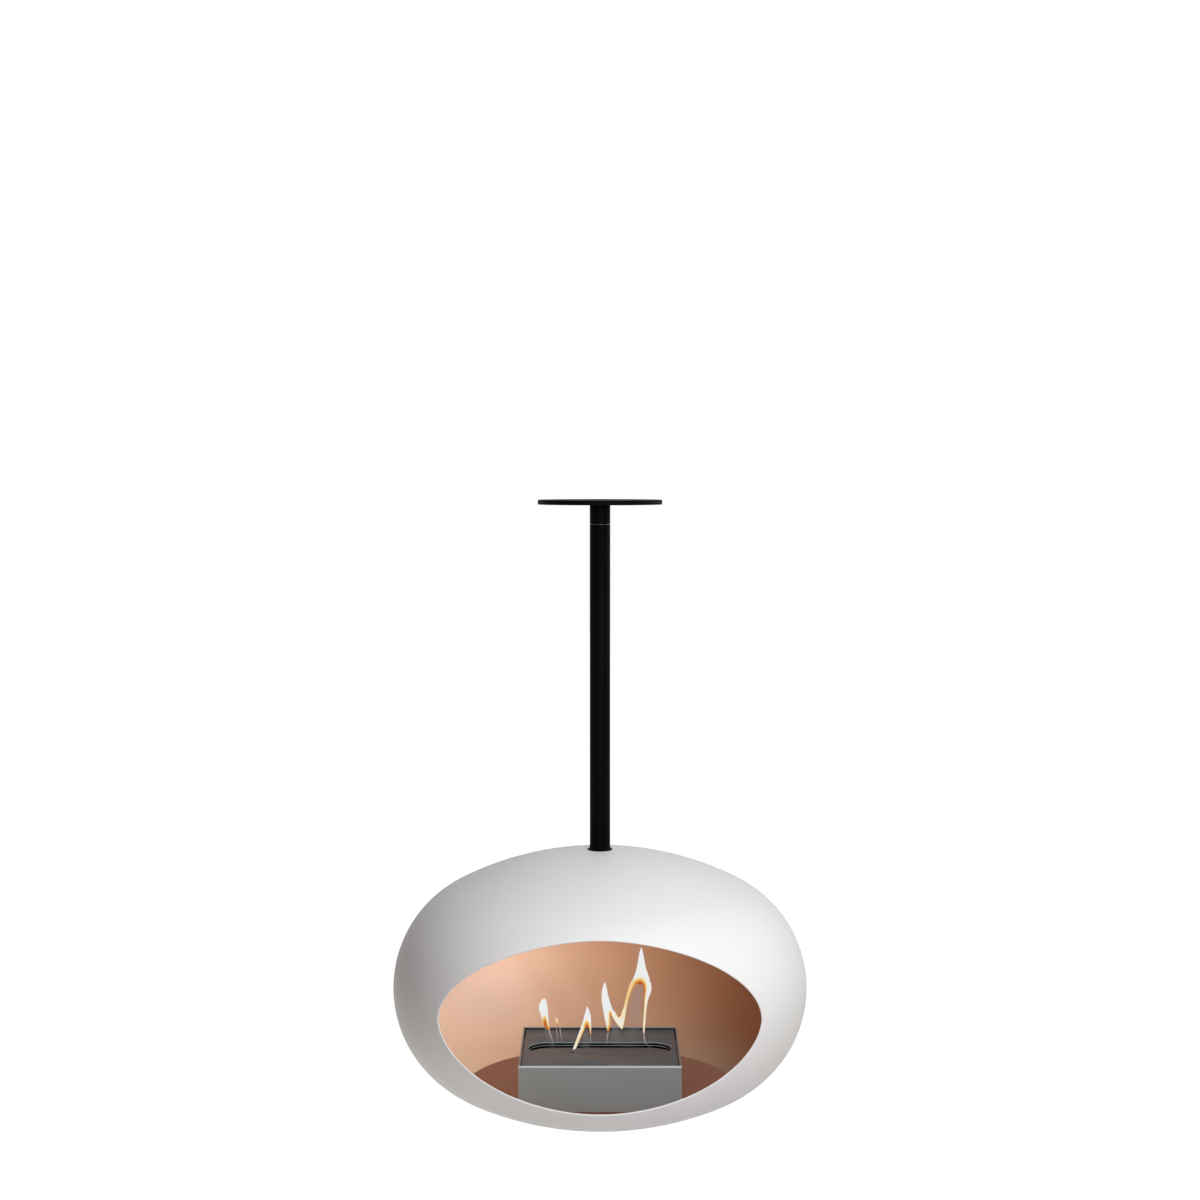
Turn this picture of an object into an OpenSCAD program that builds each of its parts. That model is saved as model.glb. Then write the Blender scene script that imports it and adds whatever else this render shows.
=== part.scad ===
// Hanging fireplace: an oval hood on a pole that turns under a ceiling plate, with a loose
// liquid-fuel burner standing on the hood's floor. Millimetres, +Z up, -Y is the front.
// The origin is the centre of the ceiling plate's upper face, so all of it lies below z = 0.

/* [Ceiling plate] */
// Diameter of the ceiling plate
plate_d = 200; // [170:5:260]
// Thickness of the ceiling plate
plate_t = 7.5; // [5:0.5:9]
// Diameter of the circle that the ceiling screws lie on
screw_circle_d = 150; // [110:5:160]
// Number of ceiling screws
screw_count = 4; // [3:1:6]
// Diameter of the holes for the ceiling screws
screw_hole_d = 7; // [5:0.5:9]
// Diameter of the countersinks of the ceiling screws
screw_sink_d = 14; // [11:0.5:18]
// Height of the countersinks of the ceiling screws
screw_sink_h = 3.5; // [2:0.5:4.5]

/* [Pole] */
// Outside diameter of the short tube and of the pole
tube_d = 33; // [31:0.5:38]
// Wall of the short tube and of the pole
tube_wall = 2.6; // [1.6:0.2:3.2]
// Depth of the short tube's lower end below the ceiling
stub_end = 39; // [36:1:60]
// Length of the plug at each end of the pole
plug_h = 18; // [12:1:30]
// Outside diameter of the collar at the foot of the pole
collar_d = 40; // [39:0.5:60]
// Height of the collar's flat foot
collar_foot_h = 1.5; // [1:0.25:3]
// Radius of the collar's hollow flare
collar_flare = 2.8; // [1:0.2:3]
// Thickness of the collar's neck, which stands up round the pole above the flare
collar_lip = 0.5; // [0.3:0.1:1]
// Height of the collar's neck
collar_neck_h = 2; // [0.5:0.25:6]

/* [Swivel] */
// Shank diameter of the bolts at both ends of the pole
bolt_d = 12; // [8:1:13]
// Size across the flats of the bolt heads and of the nut
hex_af = 19; // [17:1:22]
// Height of the bolt heads
head_h = 7.5; // [5:0.5:9]
// Height of the nut
nut_h = 10; // [7:0.5:12]
// Bolt end that stands out beyond the nut
bolt_tip = 4; // [2:1:8]
// Height of the boss that carries the bush
boss_h = 18; // [12:1:20]
// Wall of the bush
bush_wall = 2; // [1:0.25:2.5]
// Diameter of the bush's flange and of the thrust washer
flange_d = 24; // [22:0.5:25]
// Thickness of the bush's flange
flange_t = 1.5; // [1:0.25:2.5]
// Thickness of the thrust washer
thrust_t = 1.5; // [1:0.25:2.5]
// Thickness of the glide washer between the short tube and the pole
glide_t = 0.8; // [0.5:0.1:2]
// How far the glide washer's edge lies inside the tubes' outside
glide_inset = 0.4; // [0.2:0.1:1]

/* [Hood] */
// Depth of the hood's middle below the ceiling
drop = 787; // [650:1:1200]
// Diameter of the hood
hood_d = 670; // [640:5:720]
// Height of the hood
hood_h = 441; // [425:1:480]
// Radius of the hood's outline at its widest place
shoulder_r = 184; // [170:1:200]
// Wall of the hood's shell
hood_wall = 2; // [1.5:0.25:3]
// Wall of the metal lining
liner_t = 0.8; // [0.5:0.1:1.5]
// Room between the shell and what lies against its inside
liner_gap = 0.3; // [0.2:0.05:0.6]
// Width of the mouth
mouth_w = 494; // [440:2:540]
// Height of the mouth
mouth_h = 266; // [240:2:290]
// Fullness of the mouth: 2 is an ellipse, and less draws the two ends out to points
mouth_power = 1.85; // [1.7:0.05:2.4]
// Height of the floor's upper face above the bottom of the hood
floor_rise = 53; // [40:0.5:56]
// Thickness of the floor plate
floor_t = 1.5; // [1:0.25:3]

/* [Hood fixing] */
// Diameter of the dished disc that spreads the pole's load
dish_d = 120; // [80:5:180]
// Thickness of the dished disc
dish_t = 3; // [2:0.5:5]
// Clearance hole for the hood screw
hood_hole_d = 13; // [13:0.25:16]
// Diameter of the washer under the dished disc
washer_d = 30; // [26:1:40]
// Thickness of that washer
washer_t = 2.5; // [1.5:0.5:4]
// Diameter of the spring washer
spring_d = 21; // [19:0.5:24]
// Thickness of the spring washer
spring_t = 2.5; // [1.5:0.25:4]
// Width of the spring washer's slit
spring_slit = 1.5; // [1:0.5:3]
// How far the hood screw's tip lies below the top of its plug
screw_short = 2; // [1:0.5:6]

/* [Burner housing] */
// Width of the housing
burner_w = 255; // [250:1:275]
// Depth of the housing from front to back
burner_l = 236; // [232:1:250]
// Height of the housing above the floor plate, with its feet
burner_h = 74.5; // [70:0.5:90]
// How far in front of the hood's middle the housing's front lies
burner_front = 155; // [150:1:160]
// Wall of the housing
sheet_t = 2.5; // [1.5:0.25:3]
// Thickness of the housing's bottom
bottom_t = 2; // [1:0.25:3]
// Outside radius of the fold along the top of the front
fold_r = 3.5; // [3.25:0.25:5]
// Flat strip behind that fold
fold_lip = 1; // [0.5:0.25:3]
// Radius of the housing's upright corners
corner_r = 2; // [1:0.25:2.5]
// Diameter of the feet
foot_d = 22; // [12:1:30]
// Height of the feet
foot_h = 2; // [1:0.5:4]
// Distance of a foot's middle from the housing's sides
foot_inset = 25; // [18:1:50]
// Width of the rails that carry the tank's lid
ledge_w = 5.5; // [4.5:0.25:6]
// Height of those rails
ledge_h = 20; // [10:1:30]
// Metal thickness of those rails
ledge_t = 1.5; // [1:0.25:2]

/* [Tank] */
// Room between the tank and the rail on each side of it
tank_gap = 1.5; // [1:0.25:3]
// Depth of the tank from front to back
tank_l = 150; // [120:5:190]
// Height of the tank under its lid
tank_h = 56; // [40:1:57]
// Wall of the tank
tank_wall = 1.5; // [1:0.25:2]
// Radius of the tank's upright corners
tank_r = 12; // [4:1:20]
// Thickness of the tank's lid
lid_t = 1.5; // [1:0.25:2.5]
// Thickness of the wool pad
wool_t = 26; // [10:1:28]
// Thickness of the grid that holds the wool down
grid_t = 1.5; // [1:0.25:2.5]
// Diameter of the holes in the grid
grid_hole_d = 12; // [6:1:14]
// Distance between the holes in the grid
grid_pitch = 20; // [17:1:30]
// Least strip of the grid outside its holes
grid_edge = 8; // [4:1:20]

/* [Top plate and damper] */
// Strip of the top plate at each end of the flame slot
slot_side = 8; // [7:1:30]
// Width of the flame slot
slot_w = 66; // [40:1:68]
// Depth of the top plate's face below the housing's edge
plate_recess = 3; // [1:0.5:5]
// Thickness of the top plate
top_t = 2; // [1:0.25:3]
// Gap between the top plate and the housing's walls
edge_gap = 2; // [1:0.25:3]
// Gap between the top plate and the strip behind the front fold
front_gap = 0.5; // [0.3:0.1:1.5]
// Radius of the finger notch in the top plate's front edge
notch_r = 9; // [5:0.5:14]
// Thickness of the damper
damper_t = 1.5; // [1:0.25:2.5]
// Width of the rail on each side of the damper
rail_w = 2.5; // [1.5:0.25:4]
// Depth of the damper from front to back
damper_l = 72; // [68:1:76]
// Radius of the damper's two rear corners
damper_rear_r = 44; // [30:1:44]
// Radius of the damper's two front corners
damper_front_r = 20; // [5:1:27]
// How far behind the slot's middle the damper's rear edge lies at rest
damper_rest = 10; // [-20:1:30]
// Diameter of the hole that the damper's hook goes into
hook_hole_d = 7; // [4:0.5:10]
// Distance of that hole to the left of the middle
hook_hole_x = 45; // [-60:1:60]
// Distance of that hole behind the damper's front edge
hook_hole_y = 46; // [12:1:55]
// Room above the damper and again below it
slide_gap = 0.4; // [0.3:0.1:1]
// Room between the damper and each of its side rails
side_gap = 0.5; // [0.3:0.1:0.6]

/* [Fits] */
// Clearance on the radius where a shaft turns in its hole, and of a bolt in its hole
running_gap = 0.05; // [0.02:0.01:0.1]
// Clearance on the radius where one piece is welded or pressed into another
weld_gap = 0.1; // [0.05:0.05:0.3]
// Room under a piece that only stands or lies on another
rest_gap = 0.3; // [0.1:0.05:0.5]

/* [Hidden] */
$fn = 96;
cut = 1;                      // how far a cutting body reaches past what it cuts
corner_steps = 6;             // flats that a small upright corner is drawn with
mouth_steps = 96;             // flats that the mouth's edge is drawn with
crown_steps = 12;             // flats of the hood's outline from its axis to its shoulder
shoulder_steps = 28;          // flats of the hood's outline round its shoulder

// Hood outline: a shoulder arc at the widest place and a crown arc above and below it,
// which meet in a common tangent.
hood_r = hood_d / 2;
hood_b = hood_h / 2;
shoulder_x = hood_r - shoulder_r;
crown_r = (hood_r ^ 2 + hood_b ^ 2 - 2 * hood_r * shoulder_r) / (2 * (hood_b - shoulder_r));
crown_off = crown_r - hood_b;
join_angle = atan2(crown_off, shoulder_x);
lining_in = hood_wall + liner_gap + liner_t;
floor_depth = hood_b - floor_rise;

// Height over the ceiling plane of the dome's surface, taken in by inset, at radius r.
function dome_z(r, inset) = -drop - crown_off + sqrt((crown_r - inset) ^ 2 - r ^ 2);
// Radius of the hood's surface, taken in by inset, at depth h above or below its middle.
function hood_radius(h, inset) = h <= (shoulder_r - inset) * sin(join_angle)
    ? shoulder_x + sqrt((shoulder_r - inset) ^ 2 - h ^ 2)
    : sqrt((crown_r - inset) ^ 2 - (h + crown_off) ^ 2);

// Heights and radii in the swivel and the pole
tube_bore_r = tube_d / 2 - tube_wall;
plug_r = tube_bore_r - weld_gap;
bolt_hole_r = bolt_d / 2 + running_gap;
stub_z = -stub_end;
boss_top = stub_z + boss_h;
flange_top = boss_top + flange_t;
thrust_top = flange_top + thrust_t;
pole_top = stub_z - glide_t;
pole_end = dome_z(hood_hole_d / 2, 0);
bush_r = bolt_hole_r + bush_wall;

// Heights of what is clamped under the crown of the hood
dish_in = hood_wall + liner_gap + dish_t;
washer_top = dome_z(washer_d / 2, dish_in) - running_gap;
spring_top = washer_top - washer_t;
screw_head_top = spring_top - spring_t;

// Heights of the burner, from the floor up
floor_z = -drop - floor_depth;
rim_z = floor_z + burner_h;
housing_z = floor_z + foot_h + rest_gap;
top_z = rim_z - plate_recess;
top_under = top_z - top_t;
lid_z = top_under - damper_t - 2 * slide_gap;
lid_under = lid_z - lid_t;
damper_z = lid_z + slide_gap;
wool_z = lid_under - tank_h + tank_wall + rest_gap;
grid_z = wool_z + wool_t + rest_gap;

// Places across the burner
front_y = -burner_front;
mid_y = front_y + burner_l / 2;
back_y = front_y + burner_l;
inner_w = burner_w - 2 * sheet_t;
plate_w = inner_w - 2 * edge_gap;
plate_front = front_y + fold_r + fold_lip + front_gap;
plate_back = back_y - sheet_t - edge_gap;
plate_l = plate_back - plate_front;
slot_l = plate_w - 2 * slot_side;
damper_w = plate_w - 2 * (rail_w + side_gap);
tank_w = inner_w - 2 * (ledge_w + tank_gap);
wool_w = tank_w - 2 * (tank_wall + rest_gap);
wool_l = tank_l - 2 * (tank_wall + rest_gap);
wool_r = tank_r - tank_wall - rest_gap;
damper_front = mid_y + damper_rest - damper_l;

// ---- shapes that repeat ----

// A ring from bore radius r_in to radius r_out, from height z0 up by h.
module ring(r_out, r_in, z0, h) {
    translate([0, 0, z0]) difference() {
        cylinder(r = r_out, h = h);
        translate([0, 0, -cut]) cylinder(r = r_in, h = h + 2 * cut);
    }
}

// A hexagon of the common size across its flats, from height z0 up by h.
module hexagon(z0, h) {
    translate([0, 0, z0]) cylinder(r = hex_af / 2 / cos(30), h = h, $fn = 6);
}

// Points of a rectangle w by l about the origin, with rounded corners of radius r.
function rounded(w, l, r) = [
    for (quarter = [0 : 3], step = [0 : corner_steps])
        let (angle = 90 * quarter + 90 * step / corner_steps,
             sx = quarter == 0 || quarter == 3 ? 1 : -1,
             sy = quarter < 2 ? 1 : -1)
            [sx * (w / 2 - r) + r * cos(angle), sy * (l / 2 - r) + r * sin(angle)]];

// A plate of height h from z0 up, w by l, about [0, y].
module rounded_block(w, l, r, y, z0, h) {
    translate([0, y, z0]) linear_extrude(h) polygon(rounded(w, l, r));
}

// The flame slot's outline with its round ends.
module slot_outline() {
    straight = slot_l - slot_w;
    square([straight, slot_w], center = true);
    for (side = [-1, 1]) translate([side * straight / 2, 0]) circle(d = slot_w);
}

// The flame slot as a cutting body about height z, through a plate of thickness t.
module slot_cut(z, t) {
    translate([0, mid_y, z - cut]) linear_extrude(t + 2 * cut) slot_outline();
}

// Points down the hood's outline, from the top of its axis to the bottom, taken in by inset.
function outline(inset) = concat(
    [for (i = [0 : crown_steps]) let (a = 90 - (90 - join_angle) * i / crown_steps)
        [(crown_r - inset) * cos(a), (crown_r - inset) * sin(a) - crown_off]],
    [for (i = [1 : shoulder_steps - 1]) let (a = join_angle * (1 - 2 * i / shoulder_steps))
        [shoulder_x + (shoulder_r - inset) * cos(a), (shoulder_r - inset) * sin(a)]],
    [for (i = [0 : crown_steps]) let (a = join_angle + (90 - join_angle) * i / crown_steps)
        [(crown_r - inset) * cos(a), crown_off - (crown_r - inset) * sin(a)]]);

// The hood's closed skin between two distances in from its outside.
module hood_skin(inset_out, inset_in) {
    inside = outline(inset_in);
    last = len(inside) - 1;
    translate([0, 0, -drop]) rotate_extrude()
        polygon(concat(outline(inset_out), [for (i = [0 : last]) inside[last - i]]));
}

// The body that cuts the mouth, straight from front to back, through the hood's front half.
module mouth_cut() {
    points = [for (i = [0 : mouth_steps - 1])
        let (c = cos(360 * i / mouth_steps), s = sin(360 * i / mouth_steps))
            [mouth_w / 2 * sign(c) * abs(c) ^ (2 / mouth_power),
             mouth_h / 2 * sign(s) * abs(s) ^ (2 / mouth_power)]];
    translate([0, 0, -drop]) rotate([90, 0, 0]) linear_extrude(hood_r + cut) polygon(points);
}

// ---- ceiling mount ----

module ceiling_plate() {
    color([0.03, 0.03, 0.03]) difference() {
        translate([0, 0, -plate_t]) cylinder(d = plate_d, h = plate_t);
        translate([0, 0, -plate_t - cut]) cylinder(r = tube_bore_r, h = plate_t + 2 * cut);
        for (i = [0 : screw_count - 1]) rotate(45 + 360 * i / screw_count)
            translate([screw_circle_d / 2, 0, -plate_t]) {
                translate([0, 0, -cut]) cylinder(d = screw_hole_d, h = plate_t + 2 * cut);
                cylinder(d1 = screw_sink_d, d2 = screw_hole_d, h = screw_sink_h);
            }
    }
}

module ceiling_stub() {
    color([0.03, 0.03, 0.03]) ring(tube_d / 2, tube_bore_r, stub_z, stub_end - plate_t);
}

module stub_boss() {
    color([0.45, 0.45, 0.47]) ring(plug_r, bush_r + running_gap, stub_z, boss_h);
}

module swivel_bush() {
    color([0.72, 0.5, 0.25]) {
        ring(bush_r, bolt_hole_r, stub_z, boss_h + flange_t);
        ring(flange_d / 2, bush_r - bush_wall / 2, boss_top, flange_t);
    }
}

// ---- pole and what it hangs on ----

module hanger_bolt() {
    bolt_end = pole_top - plug_h - nut_h - bolt_tip;
    color([0.62, 0.63, 0.65]) {
        translate([0, 0, bolt_end]) cylinder(d = bolt_d, h = thrust_top - bolt_end + head_h / 2);
        hexagon(thrust_top, head_h);
    }
}

module thrust_washer() {
    color([0.7, 0.7, 0.72]) ring(flange_d / 2, bolt_hole_r, flange_top, thrust_t);
}

module hanger_nut() {
    color([0.62, 0.63, 0.65]) difference() {
        hexagon(pole_top - plug_h - nut_h, nut_h);
        translate([0, 0, pole_top - plug_h - nut_h - cut])
            cylinder(r = bolt_hole_r, h = nut_h + 2 * cut);
    }
}

module glide_washer() {
    color([0.06, 0.06, 0.06])
        ring(tube_d / 2 - glide_inset, bolt_hole_r + weld_gap, pole_top, glide_t);
}

module pole() {
    color([0.03, 0.03, 0.03]) ring(tube_d / 2, tube_bore_r, pole_end, pole_top - pole_end);
}

module pole_top_plug() {
    color([0.45, 0.45, 0.47]) ring(plug_r, bolt_hole_r, pole_top - plug_h, plug_h);
}

module pole_bottom_plug() {
    color([0.45, 0.45, 0.47]) ring(plug_r, bolt_hole_r, pole_end, plug_h);
}

module top_collar() {
    inner = tube_d / 2 + weld_gap;
    color([0.03, 0.03, 0.03]) translate([0, 0, pole_end]) rotate_extrude() {
        translate([inner, 0]) square([collar_d / 2 - inner, collar_foot_h]);
        difference() {
            translate([inner, collar_foot_h / 2])
                square([collar_lip + collar_flare, collar_foot_h / 2 + collar_flare]);
            translate([inner + collar_lip + collar_flare, collar_foot_h + collar_flare])
                circle(collar_flare);
        }
        translate([inner, collar_foot_h])
            square([collar_lip, collar_flare + collar_neck_h]);
    }
}

// ---- hood ----

module outer_shell() {
    color([0.93, 0.93, 0.92]) difference() {
        hood_skin(0, hood_wall);
        mouth_cut();
        translate([0, 0, pole_end - dish_in]) cylinder(d = hood_hole_d, h = 2 * dish_in);
    }
}

module inner_liner() {
    color([0.78, 0.52, 0.38]) difference() {
        hood_skin(hood_wall + liner_gap, lining_in);
        mouth_cut();
        translate([0, 0, -drop]) cylinder(r = dish_d / 2 + dish_t, h = hood_b + cut);
    }
}

module reinforcing_dish() {
    color([0.62, 0.63, 0.65]) intersection() {
        translate([0, 0, -drop - crown_off]) rotate_extrude() intersection() {
            difference() {
                circle(crown_r - hood_wall - liner_gap);
                circle(crown_r - dish_in);
            }
            translate([hood_hole_d / 4, 0]) square([dish_d, crown_r]);
        }
        ring(dish_d / 2, hood_hole_d / 2, -drop, hood_b + cut);
    }
}

module hood_washer() {
    color([0.7, 0.7, 0.72]) ring(washer_d / 2, hood_hole_d / 2, washer_top - washer_t, washer_t);
}

module spring_washer() {
    color([0.6, 0.6, 0.62]) difference() {
        ring(spring_d / 2, bolt_hole_r + weld_gap, spring_top - spring_t, spring_t);
        translate([0, -spring_slit / 2, spring_top - spring_t - cut])
            cube([spring_d, spring_slit, spring_t + 2 * cut]);
    }
}

module hood_screw() {
    color([0.62, 0.63, 0.65]) {
        hexagon(screw_head_top - head_h, head_h);
        translate([0, 0, screw_head_top - head_h / 2])
            cylinder(d = bolt_d, h = pole_end + plug_h - screw_short - screw_head_top + head_h / 2);
    }
}

module floor_plate() {
    color([0.7, 0.46, 0.33]) translate([0, 0, floor_z - floor_t])
        cylinder(r1 = hood_radius(floor_depth + floor_t, lining_in) - liner_gap,
                 r2 = hood_radius(floor_depth, lining_in) - liner_gap, h = floor_t, $fn = 180);
}

// ---- burner housing ----

// The front's fold: a quarter turn from the front face to the level strip behind it.
module fold_profile() {
    inside_r = fold_r - sheet_t;
    intersection() {
        difference() {
            circle(fold_r);
            circle(inside_r);
        }
        translate([-fold_r, 0]) square(fold_r);
    }
    translate([0, inside_r]) square([fold_lip, sheet_t]);
}

module burner_housing() {
    wall_h = rim_z - housing_z;
    color([0.47, 0.46, 0.45]) {
        difference() {
            rounded_block(burner_w, burner_l, corner_r, mid_y, housing_z, wall_h);
            translate([-inner_w / 2, front_y + sheet_t, housing_z + bottom_t])
                cube([inner_w, burner_l - 2 * sheet_t, wall_h]);
            translate([-burner_w, front_y - cut, rim_z - fold_r])
                cube([2 * burner_w, fold_r + cut, fold_r + cut]);
        }
        translate([burner_w / 2, front_y + fold_r, rim_z - fold_r]) rotate([90, 0, -90])
            linear_extrude(burner_w) mirror([1, 0]) fold_profile();
    }
}

module housing_feet() {
    color([0.2, 0.2, 0.2])
        for (sx = [-1, 1], sy = [-1, 1])
            translate([sx * (burner_w / 2 - foot_inset), mid_y + sy * (burner_l / 2 - foot_inset),
                       floor_z + rest_gap])
                cylinder(d = foot_d, h = foot_h);
}

// A rail along a side wall: an upright web on the wall and a shelf under the tank's lid.
module ledge(side) {
    color([0.45, 0.45, 0.47]) translate([side * (inner_w / 2 - ledge_w / 2), mid_y, lid_under]) {
        translate([0, 0, -ledge_t / 2])
            cube([ledge_w, tank_l, ledge_t], center = true);
        translate([side * (ledge_w - ledge_t) / 2, 0, -ledge_h / 2])
            cube([ledge_t, tank_l, ledge_h], center = true);
    }
}

module ledge_left() {
    ledge(-1);
}

module ledge_right() {
    ledge(1);
}

// ---- tank ----

module tank_body() {
    floor_of_tank = lid_under - tank_h;
    color([0.55, 0.55, 0.56]) difference() {
        rounded_block(tank_w, tank_l, tank_r, mid_y, floor_of_tank, tank_h);
        rounded_block(tank_w - 2 * tank_wall, tank_l - 2 * tank_wall, tank_r - tank_wall, mid_y,
                      floor_of_tank + tank_wall, tank_h);
    }
}

module tank_lid() {
    color([0.35, 0.34, 0.33]) difference() {
        translate([-plate_w / 2, plate_front, lid_under]) cube([plate_w, plate_l, lid_t]);
        slot_cut(lid_under, lid_t);
    }
}

module wool_pad() {
    color([0.85, 0.84, 0.8]) rounded_block(wool_w, wool_l, wool_r, mid_y, wool_z, wool_t);
}

module wool_grid() {
    steps_x = floor((wool_w - 2 * grid_edge - grid_hole_d) / grid_pitch);
    steps_y = floor((wool_l - 2 * grid_edge - grid_hole_d) / grid_pitch);
    color([0.15, 0.15, 0.15]) difference() {
        rounded_block(wool_w, wool_l, wool_r, mid_y, grid_z, grid_t);
        for (i = [0 : steps_x], j = [0 : steps_y])
            translate([(i - steps_x / 2) * grid_pitch, mid_y + (j - steps_y / 2) * grid_pitch,
                       grid_z - cut])
                cylinder(d = grid_hole_d, h = grid_t + 2 * cut);
    }
}

// A strip on the lid beside the damper, as high as the gap that the damper slides in.
module damper_rail(side) {
    color([0.35, 0.34, 0.33])
        translate([side * (plate_w / 2 - rail_w / 2) - rail_w / 2, plate_front, lid_z])
            cube([rail_w, plate_l, top_under - lid_z]);
}

module damper_rail_left() {
    damper_rail(-1);
}

module damper_rail_right() {
    damper_rail(1);
}

// ---- top plate and damper ----

module top_plate() {
    color([0.4, 0.38, 0.37]) difference() {
        translate([-plate_w / 2, plate_front, top_under]) cube([plate_w, plate_l, top_t]);
        slot_cut(top_under, top_t);
        translate([0, plate_front, top_under - cut]) cylinder(r = notch_r, h = top_t + 2 * cut);
    }
}

module damper() {
    color([0.37, 0.35, 0.34]) difference() {
        translate([0, damper_front, damper_z]) linear_extrude(damper_t) damper_outline();
        translate([-hook_hole_x, damper_front + hook_hole_y, damper_z - cut])
            cylinder(d = hook_hole_d, h = damper_t + 2 * cut);
    }
}

// The damper's outline, from its front edge back along +Y.
module damper_outline() {
    front = [for (i = [0 : corner_steps]) 180 + 90 * i / corner_steps];
    rear = [for (i = [0 : 3 * corner_steps]) 90 * i / (3 * corner_steps)];
    fx = damper_w / 2 - damper_front_r;
    rx = damper_w / 2 - damper_rear_r;
    ry = damper_l - damper_rear_r;
    polygon([
        for (a = front) [damper_front_r * cos(a) - fx, damper_front_r * (1 + sin(a))],
        for (a = front) [fx + damper_front_r * cos(a + 90), damper_front_r * (1 + sin(a + 90))],
        for (a = rear) [rx + damper_rear_r * cos(a), ry + damper_rear_r * sin(a)],
        for (a = rear) [damper_rear_r * cos(a + 90) - rx, ry + damper_rear_r * sin(a + 90)]]);
}

ceiling_plate();
ceiling_stub();
stub_boss();
swivel_bush();
hanger_bolt();
thrust_washer();
hanger_nut();
glide_washer();
pole();
pole_top_plug();
pole_bottom_plug();
top_collar();
outer_shell();
inner_liner();
reinforcing_dish();
hood_washer();
spring_washer();
hood_screw();
floor_plate();
burner_housing();
housing_feet();
ledge_left();
ledge_right();
tank_body();
tank_lid();
wool_pad();
wool_grid();
damper_rail_left();
damper_rail_right();
top_plate();
damper();
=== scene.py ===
"""Looks of a hanging fireplace: an oval white hood on a black pole, copper inside, with a burner alight.

Sizes are in millimetres in the words below and in metres in Blender. The origin is the middle of the
ceiling plate's upper face, +Z is up and -Y is the front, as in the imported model.
"""

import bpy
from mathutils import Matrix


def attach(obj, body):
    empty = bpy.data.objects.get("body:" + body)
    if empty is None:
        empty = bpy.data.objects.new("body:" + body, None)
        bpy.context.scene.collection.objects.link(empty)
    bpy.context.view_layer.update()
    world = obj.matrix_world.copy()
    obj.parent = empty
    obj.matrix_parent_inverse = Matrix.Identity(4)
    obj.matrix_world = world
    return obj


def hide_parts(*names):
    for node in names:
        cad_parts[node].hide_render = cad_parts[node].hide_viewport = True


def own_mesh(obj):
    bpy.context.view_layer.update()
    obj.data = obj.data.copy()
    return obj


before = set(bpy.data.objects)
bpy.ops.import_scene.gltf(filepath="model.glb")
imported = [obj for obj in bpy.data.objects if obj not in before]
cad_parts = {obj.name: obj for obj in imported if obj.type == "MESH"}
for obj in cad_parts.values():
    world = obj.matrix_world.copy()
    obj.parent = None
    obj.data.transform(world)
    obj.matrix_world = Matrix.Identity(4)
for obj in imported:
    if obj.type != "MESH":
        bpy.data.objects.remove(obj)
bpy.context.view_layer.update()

import math

import bpy
from mathutils import Vector

MM = 0.001

# The hood: an oval turned on the pole's axis. The arcs of its shoulder are centred SHOULDER_X from the axis,
# the flatter ones of its crown CROWN_OFF beyond its middle, and they meet at the angle JOIN. The mouth is a
# full ellipse: its width, its height and its fullness.
HOOD_Z = -787.0
HOOD_R = 335.0
HOOD_HALF = 220.5
SHOULDER_R = 184.0
SHOULDER_X = HOOD_R - SHOULDER_R
CROWN_R = (HOOD_R ** 2 + HOOD_HALF ** 2 - 2 * HOOD_R * SHOULDER_R) / (2 * (HOOD_HALF - SHOULDER_R))
CROWN_OFF = CROWN_R - HOOD_HALF
JOIN = math.atan2(CROWN_OFF, SHOULDER_X)
SHELL = 2.0
LINING_GAP = 0.3
LINING = 0.8
DISH_HOLE_R = 63.0
SCREW_HOLE_R = 6.5
MOUTH = (494.0, 266.0, 1.85)
FLOOR_TOP = -954.5
FLOOR_THICK = 1.5
DISH_R = 60.0
DISH_THICK = 3.0

# The pole and the ceiling plate
TUBE_R = 16.5
TUBE_WALL = 2.6
POLE_TOP = -39.8
POLE_END = -566.5
STUB_END = -39.0
ROSE_R = 100.0
ROSE_THICK = 7.5

# The burner: its case, then what lies in it from the top down. TOP and LID are the plates' upper faces.
FRONT, BACK = -155.0, 81.0
SIDE = 127.5
RIM = -880.0
SHEET = 2.5
FOLD_R = 3.5
LIP = 4.5
CASE_BOTTOM = -952.2
TOP = -883.0
TOP_THICK = 2.0
PLATE_HALF = 123.0
PLATE_FRONT, PLATE_BACK = FRONT + 5.0, BACK - SHEET - 2.0
NOTCH_R = 9.0
NOTCH_STRAIGHT = 7.0
SLOT_Y = -37.0
SLOT_W, SLOT_L = 230.0, 66.0
LID = -887.3
LID_THICK = 1.5
DAMPER_FRONT = -99.0
DAMPER_THICK = 1.5
TANK_W, TANK_L = 236.0, 150.0
TANK_BOTTOM = LID - 57.5
TANK_WALL = 1.5
WOOL_BOTTOM, WOOL_TOP = -943.0, -917.0

# The plane that the flames are drawn in, and the photograph's camera, which looks down by DIP degrees
FLAME_Y = -16.0
EYE = Vector((0, -3399.8, 44.3))
DIP = 3.46


# ---- handling pieces ----

def only(piece):
    """Makes this piece the one that is selected and active."""
    bpy.ops.object.select_all(action="DESELECT")
    piece.select_set(True)
    bpy.context.view_layer.objects.active = piece


def settled(name):
    """Names the piece just added and puts its place, turn and scale into its mesh."""
    piece = bpy.context.object
    piece.name = piece.data.name = name
    bpy.ops.object.transform_apply(location=True, rotation=True, scale=True)
    return piece


def block(name, low, high):
    """A block between two corners."""
    size = [(b - a) * MM for a, b in zip(low, high)]
    middle = [(a + b) / 2 * MM for a, b in zip(low, high)]
    bpy.ops.object.select_all(action="DESELECT")
    bpy.ops.mesh.primitive_cube_add(size=1, location=middle, scale=size)
    return settled(name)


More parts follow.
